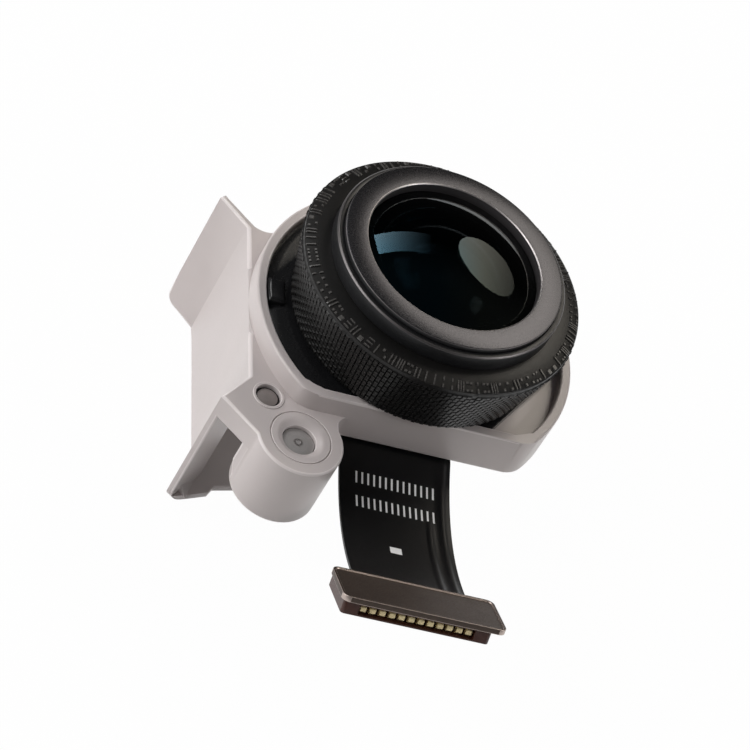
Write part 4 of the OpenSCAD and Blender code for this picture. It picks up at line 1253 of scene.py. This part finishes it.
class MODULE_OT_connector(bpy.types.Operator):
    """Makes the connector's cover, its block and its contacts"""

    bl_idname = "module.connector"
    bl_label = "Connector"
    bl_options = {'REGISTER', 'UNDO'}

    # Faces of the cover smaller than this get the painted highlight.
    RIM_AREA = 0.25 * MM * MM
    GOLD_METAL = 0.15

    def execute(self, context):
        sizes, colours = settings(context)
        cover = soft_copy("connector_cover", "connector_cover_sheet", dark_bronze(colours), "cover_bronze",
                          sizes.metal_round)
        # The cover's small edge faces get a lighter rim colour, a painted highlight along its edges.
        second_finish(cover, edge_highlight_metal("cover_rim", colours.cover_rim),
                      lambda face: face.calc_area() < self.RIM_AREA)
        soft_copy("connector_housing", "connector_housing_block", housing_brown(colours), "housing_plastic",
                  sizes.fine_round)
        gold = plated("contact_gold", colours.gold, 0.34, 0.46, self.GOLD_METAL)
        soft_copy("contacts", "contacts_plated", gold, "contact_gold", sizes.fine_round)
        return {'FINISHED'}


# Stage

class MODULE_OT_stage(bpy.types.Operator):
    """Makes the floor, the lights and the camera"""

    bl_idname = "module.stage"
    bl_label = "Stage"
    bl_options = {'REGISTER', 'UNDO'}

    VIEW_TOWARD = Vector((-0.3087, -0.6439, 0.7000))
    VIEW_UP = Vector((-0.2241, 0.7645, 0.6044))
    VIEW_DISTANCE = 183 * MM
    AIM_RIGHT = 4.037 * MM
    AIM_UP = 5.964 * MM
    LENS = 175.7
    SENSOR = 36.0
    CLIP_END = 10
    FLOOR_SIZE = 3.0
    # Direction from the lens, distance, width and height of each light, in metres
    LIGHTS = {
        "key": ((-0.93, 0.08, 0.36), 0.2, 0.16, 0.16),
        "fill": ((0.8, -0.35, 0.5), 0.25, 0.08, 0.08),
        "edge": ((-0.7, -0.2, 0.68), 0.25, 0.1, 0.1),
        "strip": ((-0.26, 0.62, 0.74), 0.22, 0.118, 0.072),
        "round": ((0.56, 0.53, 0.63), 0.22, 0.143, 0.143),
    }
    # Strength at the two ends of the lights that show in the glass, and how fast it falls
    FADES = {"strip": (3.2, 0.03, 2.5), "round": (2.2, 0.25, 2.0)}
    ROUND_WARM = (1.0, 0.93, 0.82)
    DARK_SIDE = (0.2, 0.98, 0.0)
    DARK_FROM = 0.2
    DARK_TO = 0.65
    DARK_SHARE = 0.12

    def execute(self, context):
        stage = context.scene.module_stage
        context.scene.view_settings.view_transform = 'Standard'
        self.camera(context.scene)
        self.floor(stage)
        self.lights(stage)
        self.world(context.scene, stage)
        return {'FINISHED'}

    def aim(self):
        """Point that the camera looks at: beside and below the bezel's middle."""
        face = Vector((0, 0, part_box("bezel_ring")[1].z))
        right = self.VIEW_UP.cross(self.VIEW_TOWARD).normalized()
        return face - right * self.AIM_RIGHT - self.VIEW_UP * self.AIM_UP

    def camera(self, scene):
        """Camera at the photograph's viewing angle."""
        toward = self.VIEW_TOWARD.normalized()
        right = self.VIEW_UP.cross(toward).normalized()
        up = toward.cross(right)
        bpy.ops.object.camera_add()
        camera = bpy.context.object
        turn = Matrix((right, up, toward)).transposed().to_4x4()
        camera.matrix_world = Matrix.Translation(self.aim() + toward * self.VIEW_DISTANCE) @ turn
        camera.data.lens = self.LENS
        camera.data.sensor_width = self.SENSOR
        camera.data.clip_start = MM
        camera.data.clip_end = self.CLIP_END
        scene.camera = camera

    def floor(self, stage):
        """Plain floor under the module's lowest point."""
        bpy.ops.object.select_all(action='DESELECT')
        bpy.ops.mesh.primitive_plane_add(size=self.FLOOR_SIZE, location=(0, 0, CAD_BOX[0].z))
        floor = bpy.context.object
        floor.name = "floor"
        floor.data.materials.append(self.floor_white(stage))

    @staticmethod
    def floor_white(stage):
        """Pale floor that keeps part of the shadow."""
        finish = Finish("floor_white", Base_Color=(0.9, 0.9, 0.9), Roughness=0.8, Specular_IOR_Level=0.1)
        path = finish.node('ShaderNodeLightPath')
        seen = path.outputs["Is Camera Ray"]
        for ray in ("Is Glossy Ray", "Is Transmission Ray"):
            either = finish.node('ShaderNodeMath')
            either.operation = 'MAXIMUM'
            finish.link(seen, either.inputs[0])
            finish.link(path.outputs[ray], either.inputs[1])
            seen = either.outputs[0]
        share = finish.node('ShaderNodeMath')
        share.operation = 'MULTIPLY'
        share.inputs[1].default_value = stage.floor_white
        finish.link(seen, share.inputs[0])
        glow = finish.node('ShaderNodeEmission')
        mix = finish.node('ShaderNodeMixShader')
        finish.link(share.outputs[0], mix.inputs["Fac"])
        finish.link(finish.shader.outputs["BSDF"], mix.inputs[1])
        finish.link(glow.outputs["Emission"], mix.inputs[2])
        finish.link(mix.outputs["Shader"], finish.tree.nodes["Material Output"].inputs["Surface"])
        return finish.material

    def lights(self, stage):
        """Soft lights round the module, two of which fade along their long side."""
        for name, place in self.LIGHTS.items():
            lamp = self.softbox(name, *place)
            lamp.energy = getattr(stage, name + "_power")
            if name == "round":
                lamp.shape = 'DISK'
                lamp.color = self.ROUND_WARM
            if name in self.FADES:
                self.fade(lamp, *self.FADES[name])

    @staticmethod
    def softbox(name, toward, distance, width, height):
        """Soft light in a direction from the lens, facing it, its long side along X."""
        bpy.ops.object.light_add(type='AREA')
        lamp = bpy.context.object
        lamp.name = name
        lamp.data.shape = 'RECTANGLE'
        lamp.data.size = width
        lamp.data.size_y = height
        back = Vector(toward).normalized()
        across = Vector((0, 1, 0)).cross(back).normalized()
        turn = Matrix((across, back.cross(across), back)).transposed().to_4x4()
        lamp.matrix_world = Matrix.Translation(back * distance) @ turn
        return lamp.data

    @staticmethod
    def fade(lamp, start, end, fall):
        """Lets a light fade along its long side, fast at first and then slowly."""
        lamp.use_nodes = True
        tree = lamp.node_tree
        place = tree.nodes.new('ShaderNodeNewGeometry')
        sides = tree.nodes.new('ShaderNodeSeparateXYZ')
        span = tree.nodes.new('ShaderNodeMapRange')
        span.inputs["To Min"].default_value = start ** (1 / fall)
        span.inputs["To Max"].default_value = end ** (1 / fall)
        curve = tree.nodes.new('ShaderNodeMath')
        curve.operation = 'POWER'
        curve.inputs[1].default_value = fall
        tree.links.new(place.outputs["Parametric"], sides.inputs[0])
        tree.links.new(sides.outputs["X"], span.inputs["Value"])
        tree.links.new(span.outputs["Result"], curve.inputs[0])
        tree.links.new(curve.outputs[0], tree.nodes["Emission"].inputs["Strength"])

    def world(self, scene, stage):
        """Even light from all sides but the far one, which is dark."""
        scene.world = bpy.data.worlds.new("studio")
        scene.world.use_nodes = True
        tree = scene.world.node_tree
        sky = tree.nodes["Background"]
        sky.inputs["Color"].default_value = (1, 1, 1, 1)
        place = tree.nodes.new('ShaderNodeTexCoord')
        side = tree.nodes.new('ShaderNodeVectorMath')
        side.operation = 'DOT_PRODUCT'
        side.inputs[1].default_value = self.DARK_SIDE
        span = tree.nodes.new('ShaderNodeMapRange')
        span.inputs["From Min"].default_value = self.DARK_FROM
        span.inputs["From Max"].default_value = self.DARK_TO
        span.inputs["To Min"].default_value = stage.ambient
        span.inputs["To Max"].default_value = stage.ambient * self.DARK_SHARE
        tree.links.new(place.outputs["Generated"], side.inputs[0])
        tree.links.new(side.outputs["Value"], span.inputs["Value"])
        tree.links.new(span.outputs["Result"], sky.inputs["Strength"])


class MODULE_PT_sidebar(bpy.types.Panel):
    """Lists the module's pieces and their settings"""

    bl_label = "Vision Sensor Module"
    bl_idname = "MODULE_PT_sidebar"
    bl_space_type = 'VIEW_3D'
    bl_region_type = 'UI'
    bl_category = "Module"

    def draw(self, context):
        for name, group in GROUPS.items():
            box = self.layout.box()
            for setting in group.__annotations__:
                box.prop(getattr(context.scene, name), setting)
        for operator in OPERATORS:
            self.layout.operator(operator.bl_idname)


GROUPS = {
    "module_sizes": ModuleSizes,
    "module_colours": ModuleColours,
    "module_stage": ModuleStage,
}
OPERATORS = (
    MODULE_OT_bracket,
    MODULE_OT_boss_fittings,
    MODULE_OT_lens_holder,
    MODULE_OT_lens_barrel,
    MODULE_OT_grip_band,
    MODULE_OT_bezel_ring,
    MODULE_OT_lenses,
    MODULE_OT_sensor_board,
    MODULE_OT_flex_tail,
    MODULE_OT_connector,
    MODULE_OT_stage,
)
CLASSES = (*GROUPS.values(), *OPERATORS, MODULE_PT_sidebar)


def register():
    for entry in CLASSES:
        bpy.utils.register_class(entry)
    for name, group in GROUPS.items():
        setattr(bpy.types.Scene, name, bpy.props.PointerProperty(type=group))


def unregister():
    for name in GROUPS:
        delattr(bpy.types.Scene, name)
    for entry in reversed(CLASSES):
        bpy.utils.unregister_class(entry)


def main():
    """Registers the add-on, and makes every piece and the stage."""
    register()
    for operator in OPERATORS:
        group, name = operator.bl_idname.split(".")
        getattr(getattr(bpy.ops, group), name)()


if __name__ == "__main__":
    main()
